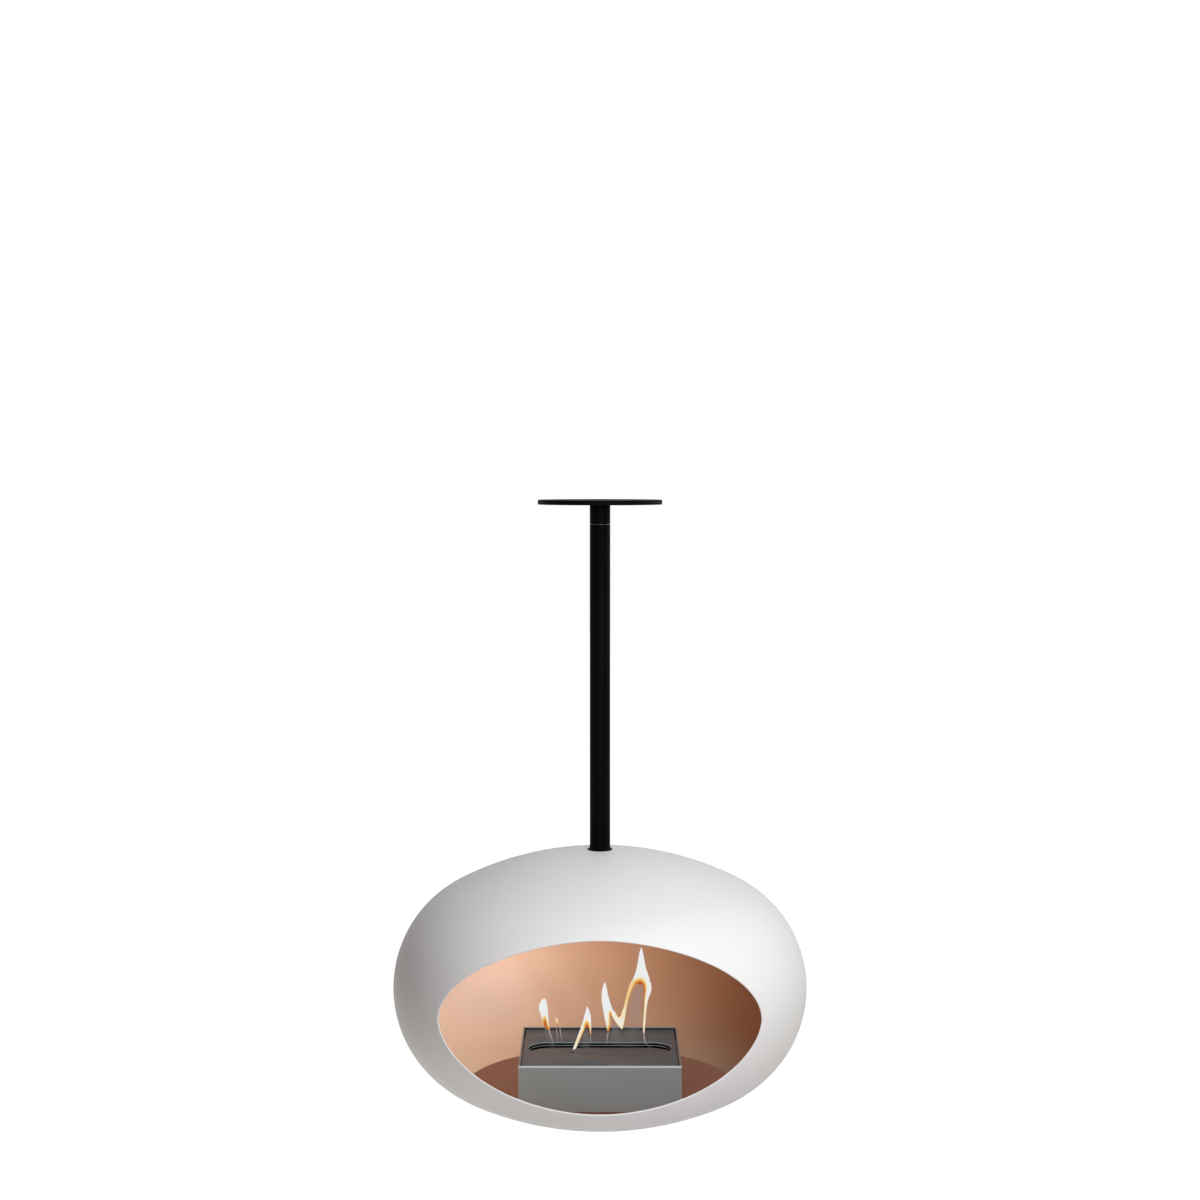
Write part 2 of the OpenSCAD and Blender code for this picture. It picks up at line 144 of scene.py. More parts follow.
def rod(name, radius, low, high, at=(0.0, 0.0), sides=64):
    """An upright rod from height low to height high."""
    bpy.ops.object.select_all(action="DESELECT")
    bpy.ops.mesh.primitive_cylinder_add(
        vertices=sides, radius=radius * MM, depth=(high - low) * MM,
        location=(at[0] * MM, at[1] * MM, (low + high) / 2 * MM))
    return settled(name)


def choose(piece, kind, test):
    """Opens the piece for editing with those faces or edges selected whose middle, in mm, and direction
    pass the test."""
    only(piece)
    bpy.ops.object.mode_set(mode="EDIT")
    bpy.ops.mesh.select_mode(type=kind)
    bpy.ops.mesh.select_all(action="DESELECT")
    bpy.ops.object.mode_set(mode="OBJECT")
    mesh = piece.data
    if kind == "FACE":
        for face in mesh.polygons:
            face.select = bool(test(face.center / MM, face.normal))
    else:
        for edge in mesh.edges:
            a, b = (mesh.vertices[i].co / MM for i in edge.vertices)
            edge.select = bool(test((a + b) / 2, (b - a).normalized()))
    bpy.ops.object.mode_set(mode="EDIT")


def everything(piece):
    """Opens the piece for editing with all of it selected."""
    only(piece)
    bpy.ops.object.mode_set(mode="EDIT")
    bpy.ops.mesh.select_mode(type="VERT")
    bpy.ops.mesh.select_all(action="SELECT")


def close():
    """Leaves edit mode."""
    bpy.ops.object.mode_set(mode="OBJECT")


def drawn(name, points, closed=True):
    """A line of edges through the points, pulled out of one vertex point by point."""
    start = Vector(points[0]) * MM
    bpy.ops.object.select_all(action="DESELECT")
    bpy.ops.mesh.primitive_plane_add(size=0.002, location=start)
    piece = settled(name)
    everything(piece)
    bpy.ops.mesh.merge(type="CENTER")
    here = start
    for point in list(points[1:]) + ([points[0]] if closed else []):
        there = Vector(point) * MM
        bpy.ops.mesh.extrude_region_move(TRANSFORM_OT_translate={"value": there - here})
        here = there
    bpy.ops.mesh.select_all(action="SELECT")
    bpy.ops.mesh.remove_doubles(threshold=0.000001)
    close()
    return piece


def turned(name, outline, steps=128, closed=True):
    """A piece turned on the pole's axis from an outline of (radius, height) points."""
    piece = drawn(name, [(r, 0, z) for r, z in outline], closed)
    everything(piece)
    bpy.ops.mesh.spin(steps=steps, angle=2 * math.pi, center=(0, 0, 0), axis=(0, 0, 1))
    bpy.ops.mesh.select_all(action="SELECT")
    bpy.ops.mesh.remove_doubles(threshold=0.00001)
    bpy.ops.mesh.normals_make_consistent(inside=False)
    close()
    return piece


def slab(name, outline, low, high):
    """A plate of an outline of (x, y) points, from height low to height high."""
    piece = drawn(name, [(x, y, low) for x, y in outline])
    everything(piece)
    bpy.ops.mesh.edge_face_add()
    bpy.ops.mesh.extrude_region_move(TRANSFORM_OT_translate={"value": (0, 0, (high - low) * MM)})
    bpy.ops.mesh.select_all(action="SELECT")
    bpy.ops.mesh.normals_make_consistent(inside=False)
    close()
    return piece


def modified(piece, kind, **settings):
    """Adds a modifier and applies it."""
    only(piece)
    modifier = piece.modifiers.new(kind.title(), kind)
    for setting, value in settings.items():
        setattr(modifier, setting, value)
    bpy.ops.object.modifier_apply(modifier=modifier.name)
    return piece


def cut(piece, *tools):
    """Cuts the tools out of the piece and deletes them."""
    for tool in tools:
        modified(piece, "BOOLEAN", operation="DIFFERENCE", solver="EXACT", object=tool)
        bpy.data.objects.remove(tool)


def eased(piece, width=0.3, segments=2, angle=40):
    """Rounds every edge sharper than the angle and shades what is left smooth."""
    modified(piece, "BEVEL", width=width * MM, segments=segments, limit_method="ANGLE",
             angle_limit=math.radians(angle), use_clamp_overlap=True)
    return smooth(piece)


def smooth(piece, angle=40):
    """Shades every edge blunter than the angle smooth."""
    only(piece)
    bpy.ops.object.shade_smooth_by_angle(angle=math.radians(angle))
    return piece


def copied(piece, name):
    """A copy with a mesh of its own."""
    only(piece)
    bpy.ops.object.duplicate()
    copy = bpy.context.object
    copy.name = copy.data.name = name
    return copy


def joined(name, pieces):
    """The pieces made one, under this name."""
    only(pieces[0])
    for other in pieces[1:]:
        other.select_set(True)
    bpy.ops.object.join()
    pieces[0].name = pieces[0].data.name = name
    return pieces[0]


def fitted(piece, body, material, slot, *nodes):
    """Gives the piece its finish, seats it on its body and lets it stand for its CAD nodes."""
    piece.data.materials.clear()
    piece.data.materials.append(material)
    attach(piece, body)
    if nodes:
        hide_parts(*nodes)
    return piece


def rounded(w, l, r, middle_y, steps=8):
    """Points of a rectangle w by l with corners rounded by r."""
    points = []
    for quarter, (sx, sy) in enumerate(((1, 1), (-1, 1), (-1, -1), (1, -1))):
        for step in range(steps + 1):
            angle = math.radians(90 * quarter + 90 * step / steps)
            points.append((sx * (w / 2 - r) + r * math.cos(angle),
                           middle_y + sy * (l / 2 - r) + r * math.sin(angle)))
    return points


# ---- finishes ----

# Painted shade and a painted highlight: black for the burner's hollows, lighter grey for its bright edges.
PAINTED_SHADE_BLACK = (0.006, 0.0055, 0.005)
HIGHLIGHT_GREY = (0.43, 0.435, 0.44)


class Wire:
    """The output of a node. Sums written with it add Math nodes."""

    def __init__(self, nodes, socket):
        self.nodes, self.socket = nodes, socket

    def _sum(self, operation, a, b):
        return self.nodes.node("ShaderNodeMath", {"operation": operation}, {0: a, 1: b})

    def __add__(self, other):
        return self._sum("ADD", self, other)

    def __radd__(self, other):
        return self._sum("ADD", other, self)

    def __sub__(self, other):
        return self._sum("SUBTRACT", self, other)

    def __rsub__(self, other):
        return self._sum("SUBTRACT", other, self)

    def __mul__(self, other):
        return self._sum("MULTIPLY", self, other)

    def __rmul__(self, other):
        return self._sum("MULTIPLY", other, self)

    def __truediv__(self, other):
        return self._sum("DIVIDE", self, other)

    def __rtruediv__(self, other):
        return self._sum("DIVIDE", other, self)

    def __pow__(self, other):
        return self._sum("POWER", self, other)

    def at_most(self, other):
        return self._sum("MINIMUM", self, other)

    def at_least(self, other):
        return self._sum("MAXIMUM", self, other)

    def passed(self, width=0.25):
        """0 where the value is below nothing, 1 from the width upwards."""
        return (self / width).at_least(0).at_most(1)


class Nodes:
    """The nodes of a material or of the world."""

    def __init__(self, owner):
        owner.use_nodes = True
        self.tree = owner.node_tree
        self.tree.nodes.clear()

    def put(self, socket, value):
        """Links or sets one socket."""
        if isinstance(value, Wire):
            self.tree.links.new(value.socket, socket)
        elif isinstance(value, (tuple, list)) and len(value) == 3 and socket.type == "RGBA":
            socket.default_value = (*value, 1.0)
        else:
            socket.default_value = value

    def node(self, kind, settings=None, inputs=None, output=0):
        """Adds a node, sets what it is and then its sockets, and gives back one output."""
        made = self.tree.nodes.new(kind)
        for setting, value in (settings or {}).items():
            if setting == "stops":
                ramp = made.color_ramp
                while len(ramp.elements) < len(value):
                    ramp.elements.new(0.5)
                for stop, (place, colour) in zip(ramp.elements, value):
                    stop.position = place
                    stop.color = (*colour, 1.0)
            else:
                setattr(made, setting, value)
        for socket, value in (inputs or {}).items():
            self.put(made.inputs[socket], value)
        return Wire(self, made.outputs[output])

    def looked_at(self):
        """1 for what the camera sees, straight, mirrored or through glass, 0 for what lights the pieces."""
        camera, shine, glass = (self.node("ShaderNodeLightPath", output=f"Is {ray} Ray")
                                for ray in ("Camera", "Glossy", "Transmission"))
        return (camera + shine + glass).at_most(1)


class Finish(Nodes):
    """A material built round one Principled shader."""

    def __init__(self, name, **constants):
        self.material = bpy.data.materials.new(name)
        super().__init__(self.material)
        out = self.tree.nodes.new("ShaderNodeOutputMaterial")
        self.shader = self.tree.nodes.new("ShaderNodeBsdfPrincipled")
        self.tree.links.new(self.shader.outputs[0], out.inputs["Surface"])
        self.feed(**constants)

    def feed(self, **values):
        """Sets or links the shader's own sockets, named with _ for a space."""
        for socket, value in values.items():
            self.put(self.shader.inputs[socket.replace("_", " ")], value)

    def spot(self, stretch=(1, 1, 1), turn=(0, 0, 0), shift=(0, 0, 0)):
        """The place on the piece, in metres."""
        here = self.node("ShaderNodeTexCoord", output="Object")
        return self.node("ShaderNodeMapping", {}, {
            "Vector": here, "Location": shift, "Rotation": turn, "Scale": stretch})

    def grain(self, size, detail=2.0, roughness=0.5, **where):
        """Noise from 0 to 1 whose lumps are about size mm across."""
        return self.node("ShaderNodeTexNoise", {}, {
            "Vector": self.spot(**where), "Scale": 1 / (size * MM), "Detail": detail,
            "Roughness": roughness})

    def cells(self, size):
        """Distance to the middles of cells about size mm across."""
        return self.node("ShaderNodeTexVoronoi", {}, {
            "Vector": self.spot(), "Scale": 1 / (size * MM)}, "Distance")

    def colours(self, factor, *stops):
        """The colour at the factor, between stops of (place, colour)."""
        return self.node("ShaderNodeValToRGB", {"stops": stops}, {"Fac": factor})

    def mixed(self, factor, first, second):
        """The first colour where the factor is 0, the second where it is 1."""
        return self.node("ShaderNodeMix", {"data_type": "RGBA"}, {
            0: factor, 6: first, 7: second}, 2)

    def place(self):
        """The place on the piece as x, y and z, in millimetres."""
        return [self.node("ShaderNodeSeparateXYZ", {}, {0: self.spot()}, i) / MM for i in range(3)]

    def blackened(self, soot_and_shade, colour, roughness):
        """The colour and roughness gone black and dull where the mask of painted shade is 1."""
        return self.mixed(soot_and_shade, colour, PAINTED_SHADE_BLACK), roughness.at_least(soot_and_shade * 0.95)

    def relief(self, height, depth):
        """A Bump node whose full height is depth mm."""
        return self.node("ShaderNodeBump", {}, {"Strength": 1.0, "Distance": depth * MM, "Height": height})


def white_coat():
    """Fine matt powder coat: a faint orange peel, a little speckle, no gloss to speak of."""
    f = Finish("white_powder_coat", Specular_IOR_Level=0.35)
    peel = f.grain(2.2, 2.0, 0.45)
    dust = f.grain(0.45, 1.0)
    cloud = f.grain(90, 2.0)
    tone = 0.5 + (dust - 0.5) * 0.25 + (cloud - 0.5) * 0.3
    f.feed(Base_Color=f.colours(tone, (0.0, (0.80, 0.80, 0.79)), (1.0, (0.88, 0.88, 0.875))),
           Roughness=0.56 + (peel - 0.5) * 0.12,
           Normal=f.relief(peel * 0.75 + dust * 0.25, 0.05))
    return f.material


def copper_coat(name, dark, light):
    """Satin copper between two tones: a fine even grain, clouded a little by heat."""
    f = Finish(name, Specular_IOR_Level=1.0)
    fleck = f.grain(0.6, 1.0)
    peel = f.grain(2.6, 2.0, 0.4)
    cloud = f.grain(120, 3.0, 0.55)
    tone = 0.5 + (cloud - 0.5) * 0.5 + (fleck - 0.5) * 0.2
    f.feed(Base_Color=f.colours(tone, (0.0, dark), (1.0, light)),
           Metallic=0.1 + (fleck - 0.5) * 0.1,
           Roughness=0.55 + (cloud - 0.5) * 0.12 + (peel - 0.5) * 0.08,
           Normal=f.relief(peel, 0.03))
    return f.material


def black_coat():
    """Black powder coat with a fine leathery grain."""
    f = Finish("black_powder_coat", Specular_IOR_Level=0.025)
    peel = f.grain(1.1, 2.0, 0.5)
    cloud = f.grain(60, 2.0)
    f.feed(Base_Color=f.colours(cloud, (0.0, (0.0008, 0.0008, 0.0008)), (1.0, (0.0018, 0.0018, 0.0018))),
           Roughness=0.5 + (peel - 0.5) * 0.2,
           Normal=f.relief(peel, 0.04))
    return f.material


def grey_coat(name, shade, soot_and_shade=None, painted_highlight=None, gloss=0.1):
    """Grey heat-proof coat on folded sheet, satin and very fine. Its two masks are functions: one says where
    the coat is painted black as shade, the other where it is painted lighter as a highlight."""
    f = Finish(name, Specular_IOR_Level=gloss)
    fleck = f.grain(0.35, 1.0)
    peel = f.grain(1.4, 2.0, 0.5)
    cloud = f.grain(45, 2.0)
    tone = 0.5 + (fleck - 0.5) * 0.5 + (cloud - 0.5) * 0.3
    dark, light = (tuple(part * c for c in shade) for part in (0.92, 1.08))
    colour, roughness = f.colours(tone, (0.0, dark), (1.0, light)), 0.38 + (peel - 0.5) * 0.14
    if painted_highlight:
        colour = f.mixed(painted_highlight(f), colour, HIGHLIGHT_GREY)
    if soot_and_shade:
        colour, roughness = f.blackened(soot_and_shade(f), colour, roughness)
    f.feed(Base_Color=colour, Roughness=roughness,
           Normal=f.relief(peel * 0.7 + fleck * 0.3, 0.03))
    return f.material


def dark_sheet():
    """Sheet darkened by the flames: grey coat gone brown-black, sooty in clouds."""
    f = Finish("heat_darkened_sheet", Specular_IOR_Level=0.4)
    soot_and_shade = f.grain(14, 4.0, 0.6)
    fleck = f.grain(0.5, 1.0)
    f.feed(Base_Color=f.colours(soot_and_shade, (0.3, (0.020, 0.019, 0.018)), (0.75, (0.075, 0.070, 0.066))),
           Roughness=0.55 + (soot_and_shade - 0.5) * 0.3 + (fleck - 0.5) * 0.1,
           Normal=f.relief(fleck, 0.03))
    return f.material


def steel(name, colour, roughness, along, soot_and_shade=None):
    """Bare steel with fine lines; along gives how much each direction is squeezed and the mask says where
    the steel is painted black as shade."""
    f = Finish(name, Specular_IOR_Level=0.03)
    line = f.grain(0.25, 2.0, 0.6, stretch=along)
    cloud = f.grain(18, 3.0)
    tone = 0.5 + (line - 0.5) * 0.5 + (cloud - 0.5) * 0.3
    bare = f.colours(tone, (0.0, tuple(c * 0.8 for c in colour)), (1.0, colour))
    rough, metal = roughness + (line - 0.5) * 0.2 + (cloud - 0.5) * 0.1, 1.0
    if soot_and_shade:
        black = soot_and_shade(f)
        bare, rough = f.blackened(black, bare, rough)
        metal = 1 - black
    f.feed(Base_Color=bare, Metallic=metal, Roughness=rough, Normal=f.relief(line, 0.01))
    return f.material


def zinc():
    """Bright zinc plate with a faint milky bloom."""
    f = Finish("zinc_plate", Metallic=1.0)
    bloom = f.cells(4)
    cloud = f.grain(9, 3.0)
    f.feed(Base_Color=f.colours(cloud, (0.3, (0.56, 0.57, 0.60)), (0.8, (0.70, 0.70, 0.69))),
           Roughness=0.3 + bloom * 0.15 + (cloud - 0.5) * 0.15,
           Normal=f.relief(cloud, 0.01))
    return f.material


def bronze():
    """Sintered bronze with open pores."""
    f = Finish("sintered_bronze", Metallic=1.0)
    pores = f.cells(0.5)
    f.feed(Base_Color=f.colours(pores, (0.1, (0.24, 0.13, 0.05)), (0.4, (0.62, 0.38, 0.16))),
           Roughness=0.5 - (pores - 0.5) * 0.2,
           Normal=f.relief(pores, 0.03))
    return f.material


def rubber():
    """Black silicone rubber with a dusty bloom."""
    f = Finish("black_silicone", Specular_IOR_Level=0.3)
    dust = f.grain(3, 4.0, 0.65)
    f.feed(Base_Color=f.colours(dust, (0.3, (0.022, 0.022, 0.022)), (0.8, (0.055, 0.054, 0.052))),
           Roughness=0.75 + (dust - 0.5) * 0.2,
           Normal=f.relief(f.grain(0.4, 2.0), 0.04))
    return f.material


def acetal():
    """Black machined acetal with its turning marks."""
    f = Finish("black_acetal", Specular_IOR_Level=0.4)
    marks = f.grain(0.2, 1.0, stretch=(0.05, 0.05, 1))
    f.feed(Base_Color=f.colours(marks, (0.0, (0.035, 0.035, 0.035)), (1.0, (0.06, 0.06, 0.06))),
           Roughness=0.4 + (marks - 0.5) * 0.2,
           Normal=f.relief(marks, 0.01))
    return f.material


def wool():
    """White ceramic fibre, matted, browned here and there by the fire."""
    f = Finish("ceramic_wool", Specular_IOR_Level=0.1, Sheen_Weight=0.3, Sheen_Roughness=0.5)
    strands = f.grain(1.2, 4.0, 0.7, stretch=(1, 0.25, 1))
    across = f.grain(1.2, 4.0, 0.7, stretch=(0.25, 1, 1), turn=(0, 0, 0.5))
    scorch = f.grain(30, 3.0, 0.6)
    pale = f.colours(strands * 0.5 + across * 0.5, (0.25, (0.58, 0.56, 0.51)), (0.75, (0.84, 0.83, 0.79)))
    f.feed(Base_Color=f.mixed(((scorch - 0.55) * 4).at_least(0).at_most(0.6), pale, (0.42, 0.33, 0.24)),
           Roughness=0.92, Normal=f.relief(strands + across, 0.5))
    return f.material


def flame():
    """Burning alcohol: white at the heart, yellow to deep orange towards the embers, then rosy tails and a
    grey haze. The flame's own attributes say how warm and how dense it is."""
    f = Finish("flame", Base_Color=(0.0, 0.0, 0.0), Roughness=1.0, Specular_IOR_Level=0.0,
               Emission_Strength=1.0)
    warmth = f.node("ShaderNodeAttribute", {"attribute_name": "warmth"}, output="Fac")
    cover = f.node("ShaderNodeAttribute", {"attribute_name": "cover"}, output="Fac")
    flicker = f.grain(9, 2.0, stretch=(1, 1, 0.4))
    heat = warmth + (flicker - 0.5) * 0.12 * (1 - warmth)
    f.feed(Emission_Color=f.colours(heat, (0.0, (0.84, 0.845, 0.855)), (0.18, (0.87, 0.82, 0.69)),
                                    (0.38, (0.87, 0.66, 0.32)), (0.56, (0.83, 0.44, 0.10)),
                                    (0.72, (0.64, 0.20, 0.03)), (0.84, (0.44, 0.09, 0.018)),
                                    (0.9, (0.66, 0.55, 0.54)), (1.0, (0.25, 0.25, 0.27))),
           Alpha=cover.at_least(0).at_most(1))
    return f.material


def within(f, left, front, right, back, top, wall):
    """1 inside a case with this outer box, from half its wall inwards, 0 outside: the mask of painted shade
    on its inner faces.
    """
    x, y, z = f.place()
    deep = (x - left).at_most(right - x).at_most(y - front).at_most(back - y).at_most(top - z)
    return (deep - wall / 2).passed()


def fold_highlights(f):
    """1 where a highlight is painted on the coat: on the burner case's front fold and on its two front
    corners.
    """
    x, y, z = f.place()
    fold = (z - (RIM - 2.2)).at_most(FRONT + LIP + 0.1 - y)
    corner = (x.at_least(0 - x) - (SIDE - 0.8)).at_most(FRONT + 1.2 - y)
    return fold.at_least(corner).passed(0.5)


def slot_edge_highlight(f):
    """1 on the rear edge of the top plate's slot, where the coat is painted lighter as a highlight too."""
    x, y, z = f.place()
    beyond = (x.at_least(0 - x) - (SLOT_W - SLOT_L) / 2).at_least(0)
    off = (beyond * beyond + (y - SLOT_Y) * (y - SLOT_Y)) ** 0.5 - SLOT_L / 2
    return (0.9 - off).at_most(z - (TOP - 0.4)).at_most(y - SLOT_Y).passed(0.3)


def shaded_lid_top(f):
    """1 on the tank lid's upper face, which lies under the fire and in shade under the top plate."""
    return (f.place()[2] - (LID - 0.4)).passed(0.1)


# The plate's and damper's grey is tinted cool: a painted tint that offsets the copper's warm reflected
# light.
COOLED_PLATE_GREY = (0.094, 0.105, 0.112)
STAINLESS_TONE = (0.56, 0.56, 0.57)

WHITE = white_coat()
COPPER = copper_coat("satin_copper", (0.41, 0.219, 0.125), (0.47, 0.252, 0.144))
# The floor's copper is a darker, deeper copy of the lining's: painted shade of the floor under the hood.
SHADED_COPPER = copper_coat("satin_copper_floor_shaded", (0.173, 0.039, 0.012), (0.194, 0.044, 0.014))
BLACK = black_coat()
# The case's front fold and front corners are painted with a highlight: a lighter grey where light catches
# the bends.
# The case's grey is tinted warm: a painted tint that offsets the burner lamp's cool light.
# The case's inner faces are painted black: painted shade of the dark gap round the top plate.
CASING = grey_coat("grey_stove_coat", (0.209, 0.200, 0.190), painted_highlight=fold_highlights,
                   soot_and_shade=lambda f: within(f, -SIDE, FRONT, SIDE, BACK, RIM, SHEET))
PLATE = grey_coat("grey_stove_coat_cooled_plate", COOLED_PLATE_GREY)
# The cover carries a painted highlight along the rear edge of its slot.
COVER = grey_coat("grey_stove_coat_slot_highlight", COOLED_PLATE_GREY, painted_highlight=slot_edge_highlight)
# The lid's upper face is painted black: painted shade under the top plate.
LID_COAT = grey_coat("grey_stove_coat_shaded_lid_top", (0.25, 0.25, 0.25), soot_and_shade=shaded_lid_top, gloss=0.03)
DARK = dark_sheet()
TURNED = steel("turned_steel", (0.50, 0.50, 0.51), 0.34, along=(0.04, 0.04, 1))
STAINLESS = steel("brushed_stainless", STAINLESS_TONE, 0.32, along=(0.03, 1, 1))
# The tank's inner faces are painted black: painted shade of its hollow below the slot.
TANK = steel("brushed_stainless_shaded_inside", STAINLESS_TONE, 0.32, along=(0.03, 1, 1),
             soot_and_shade=lambda f: within(f, -TANK_W / 2, SLOT_Y - TANK_L / 2, TANK_W / 2, SLOT_Y + TANK_L / 2,
                                   LID - 1, SHEET))
ZINC = zinc()
BRONZE = bronze()
RUBBER = rubber()
ACETAL = acetal()
WOOL = wool()
FLAME = flame()


# ---- camera: the photograph's ----

bpy.ops.object.camera_add(location=EYE * MM, rotation=(math.radians(90 - DIP), 0, 0))
camera = bpy.context.object
camera.data.lens = 63.45
camera.data.sensor_width = 36
camera.data.clip_end = 60
bpy.context.scene.camera = camera


# ---- hood ----

def hood_outline(crown=36, shoulder=72):
    """Points of the hood's outline from the top of its axis to the bottom."""
    points = []
    for i in range(crown + 1):
        a = math.pi / 2 - (math.pi / 2 - JOIN) * i / crown
        points.append((CROWN_R * math.cos(a), HOOD_Z + CROWN_R * math.sin(a) - CROWN_OFF))
    for i in range(1, shoulder):
        a = JOIN * (1 - 2 * i / shoulder)
        points.append((SHOULDER_X + SHOULDER_R * math.cos(a), HOOD_Z + SHOULDER_R * math.sin(a)))
    for i in range(crown + 1):
        a = JOIN + (math.pi / 2 - JOIN) * i / crown
        points.append((CROWN_R * math.cos(a), HOOD_Z - CROWN_R * math.sin(a) + CROWN_OFF))
    return points


def off_hood(place):
    """How far a place lies inside the hood's outer surface."""
    r, h = math.hypot(place.x, place.y), abs(place.z - HOOD_Z)
    if h <= SHOULDER_R * math.sin(JOIN):
        if r > SHOULDER_X * 0.9 and math.atan2(h, max(r - SHOULDER_X, 0.001)) <= JOIN + 0.01:
            return SHOULDER_R - math.hypot(r - SHOULDER_X, h)
    return CROWN_R - math.hypot(r, h + CROWN_OFF)


def mouth_tool(wider):
    """The body that cuts the mouth straight from the front, wider mm larger all round."""
    wide, high, fullness = MOUTH[0] + 2 * wider, MOUTH[1] + 2 * wider, MOUTH[2]
    points = []
    for i in range(192):
        c, s = math.cos(2 * math.pi * i / 192), math.sin(2 * math.pi * i / 192)
        points.append((wide / 2 * math.copysign(abs(c) ** (2 / fullness), c), 0,
                       HOOD_Z + high / 2 * math.copysign(abs(s) ** (2 / fullness), s)))
    tool = drawn("mouth_tool", points)
    everything(tool)
    bpy.ops.mesh.edge_face_add()
    bpy.ops.mesh.extrude_region_move(TRANSFORM_OT_translate={"value": (0, -(HOOD_R + 20) * MM, 0)})
    bpy.ops.mesh.select_all(action="SELECT")
    bpy.ops.mesh.normals_make_consistent(inside=False)
    close()
    return tool


def opened(piece, inset, *tools):
    """Cuts the tools out of a skin that lies inset mm inside the outline, and drops the faces that they
    leave inside it."""
    cut(piece, *tools)
    choose(piece, "FACE", lambda at, n: off_hood(at) > inset + 0.6)
    bpy.ops.mesh.delete(type="FACE")
    bpy.ops.mesh.select_all(action="SELECT")
    bpy.ops.mesh.remove_doubles(threshold=0.0003)
    close()


skin = turned("hood_skin", hood_outline(), steps=240, closed=False)
opened(skin, 0, mouth_tool(0), rod("screw_tool", SCREW_HOLE_R, HOOD_Z + 100, HOOD_Z + HOOD_HALF + 50))

# The lining stops 1.2 mm short of the shell's edge all round the mouth
lining = copied(skin, "copper_lining")
everything(lining)
bpy.ops.transform.shrink_fatten(value=-(SHELL + LINING_GAP) * MM)
close()
opened(lining, SHELL + LINING_GAP, mouth_tool(1.2))
choose(lining, "FACE", lambda at, n: at.z > HOOD_Z + 100 and math.hypot(at.x, at.y) < DISH_HOLE_R)
bpy.ops.mesh.delete(type="FACE")
close()
modified(lining, "SOLIDIFY", thickness=LINING * MM, offset=-1, use_even_offset=True)
fitted(smooth(lining, 50), "hood", COPPER, "copper_finish", "inner_liner")

modified(skin, "SOLIDIFY", thickness=SHELL * MM, offset=-1, use_even_offset=True)
fitted(eased(skin, 0.35, 2, 50), "hood", WHITE, "white_coat", "outer_shell")


# The floor ends 0.3 mm short of the lining, and its edge leans as the lining does
lined, edge_lean = SHELL + LINING_GAP + LINING, 3.1
hearth_r = math.sqrt((CROWN_R - lined) ** 2 - (HOOD_Z - FLOOR_TOP + CROWN_OFF) ** 2) - 0.3
hearth_under = FLOOR_TOP - FLOOR_THICK
hearth = turned("hearth_floor", [(0, FLOOR_TOP), (hearth_r, FLOOR_TOP), (hearth_r - edge_lean, hearth_under),
                                 (0, hearth_under)], steps=180)
fitted(eased(hearth, 0.3), "hood", SHADED_COPPER, "copper_finish", "floor_plate")


def under_dome(r, inset):
    """Height of the dome's face at a radius, taken in by inset."""
    return HOOD_Z - CROWN_OFF + math.sqrt((CROWN_R - inset) ** 2 - r ** 2)


dish_top, dish_under = SHELL + LINING_GAP, SHELL + LINING_GAP + DISH_THICK
dish_radii = [SCREW_HOLE_R + (DISH_R - SCREW_HOLE_R) * i / 12 for i in range(13)]
dish = turned("load_dish", [(r, under_dome(r, dish_top)) for r in dish_radii]
              + [(r, under_dome(r, dish_under)) for r in reversed(dish_radii)], steps=96)
fitted(eased(dish, 0.4), "hood", ZINC, "zinc_steel", "reinforcing_dish")

# The screw's head lies under its two washers, and the upper one meets the dish at its rim
washer_r, washers = 15.0, 5.0
across_flats, head_high, shank_r, shank_up = 19.0, 7.5, 6.0, 16.0
head_top = under_dome(washer_r, dish_under) - 0.05 - washers
screw = rod("hood_screw_head", across_flats / 2 / math.cos(math.pi / 6), head_top - head_high, head_top,
            sides=6)
# What the head is cut down to: a round body that takes the lower corners off the hexagon
cone = turned("chamfer_tool", [(0, head_top + 1), (14, head_top + 1), (14, head_top - 5.9),
                               (8.6, head_top - 8.6), (0, head_top - 8.6)], steps=48)
modified(screw, "BOOLEAN", operation="INTERSECT", solver="EXACT", object=cone)
bpy.data.objects.remove(cone)
choose(screw, "FACE", lambda at, n: n.z > 0.9)
bpy.ops.mesh.inset(thickness=(across_flats / 2 - shank_r) * MM)
bpy.ops.mesh.extrude_region_move(
    TRANSFORM_OT_translate={"value": (0, 0, (POLE_END + shank_up - head_top) * MM)})
close()
fitted(eased(screw, 0.25), "hood", ZINC, "zinc_steel", "hood_screw")


# ---- pole and ceiling ----

def tube(name, low, high):
    """A length of the pole's tube with eased ends."""
    wall = [(TUBE_R, low), (TUBE_R, high), (TUBE_R - TUBE_WALL, high), (TUBE_R - TUBE_WALL, low)]
    return eased(turned(name, wall, steps=96), 0.4, 3)


pole = tube("pole_tube", POLE_END, POLE_TOP)
fitted(pole, "hood", BLACK, "black_coat", "pole")
fitted(tube("short_tube", STUB_END, -ROSE_THICK), "ceiling_mount", BLACK, "black_coat", "ceiling_stub")

# The collar's outline: a flat foot, a short flare that draws in round the pole, and a thin lip
flare = [(TUBE_R + 3.1 - 2.6 * math.sin(a), 1.5 + 2.2 - 2.2 * math.cos(a))
         for a in (math.radians(10 * i) for i in range(1, 10))]
collar = turned("foot_collar", [(r, POLE_END + z) for r, z in (
    [(TUBE_R + 0.1, 0), (19.8, 0), (20, 0.2), (20, 1.1), (19.8, 1.4)] + flare
    + [(TUBE_R + 0.45, 6.1), (TUBE_R + 0.3, 6.3), (TUBE_R + 0.1, 6.3)])], steps=96)
fitted(smooth(collar, 50), "hood", BLACK, "black_coat", "top_collar")

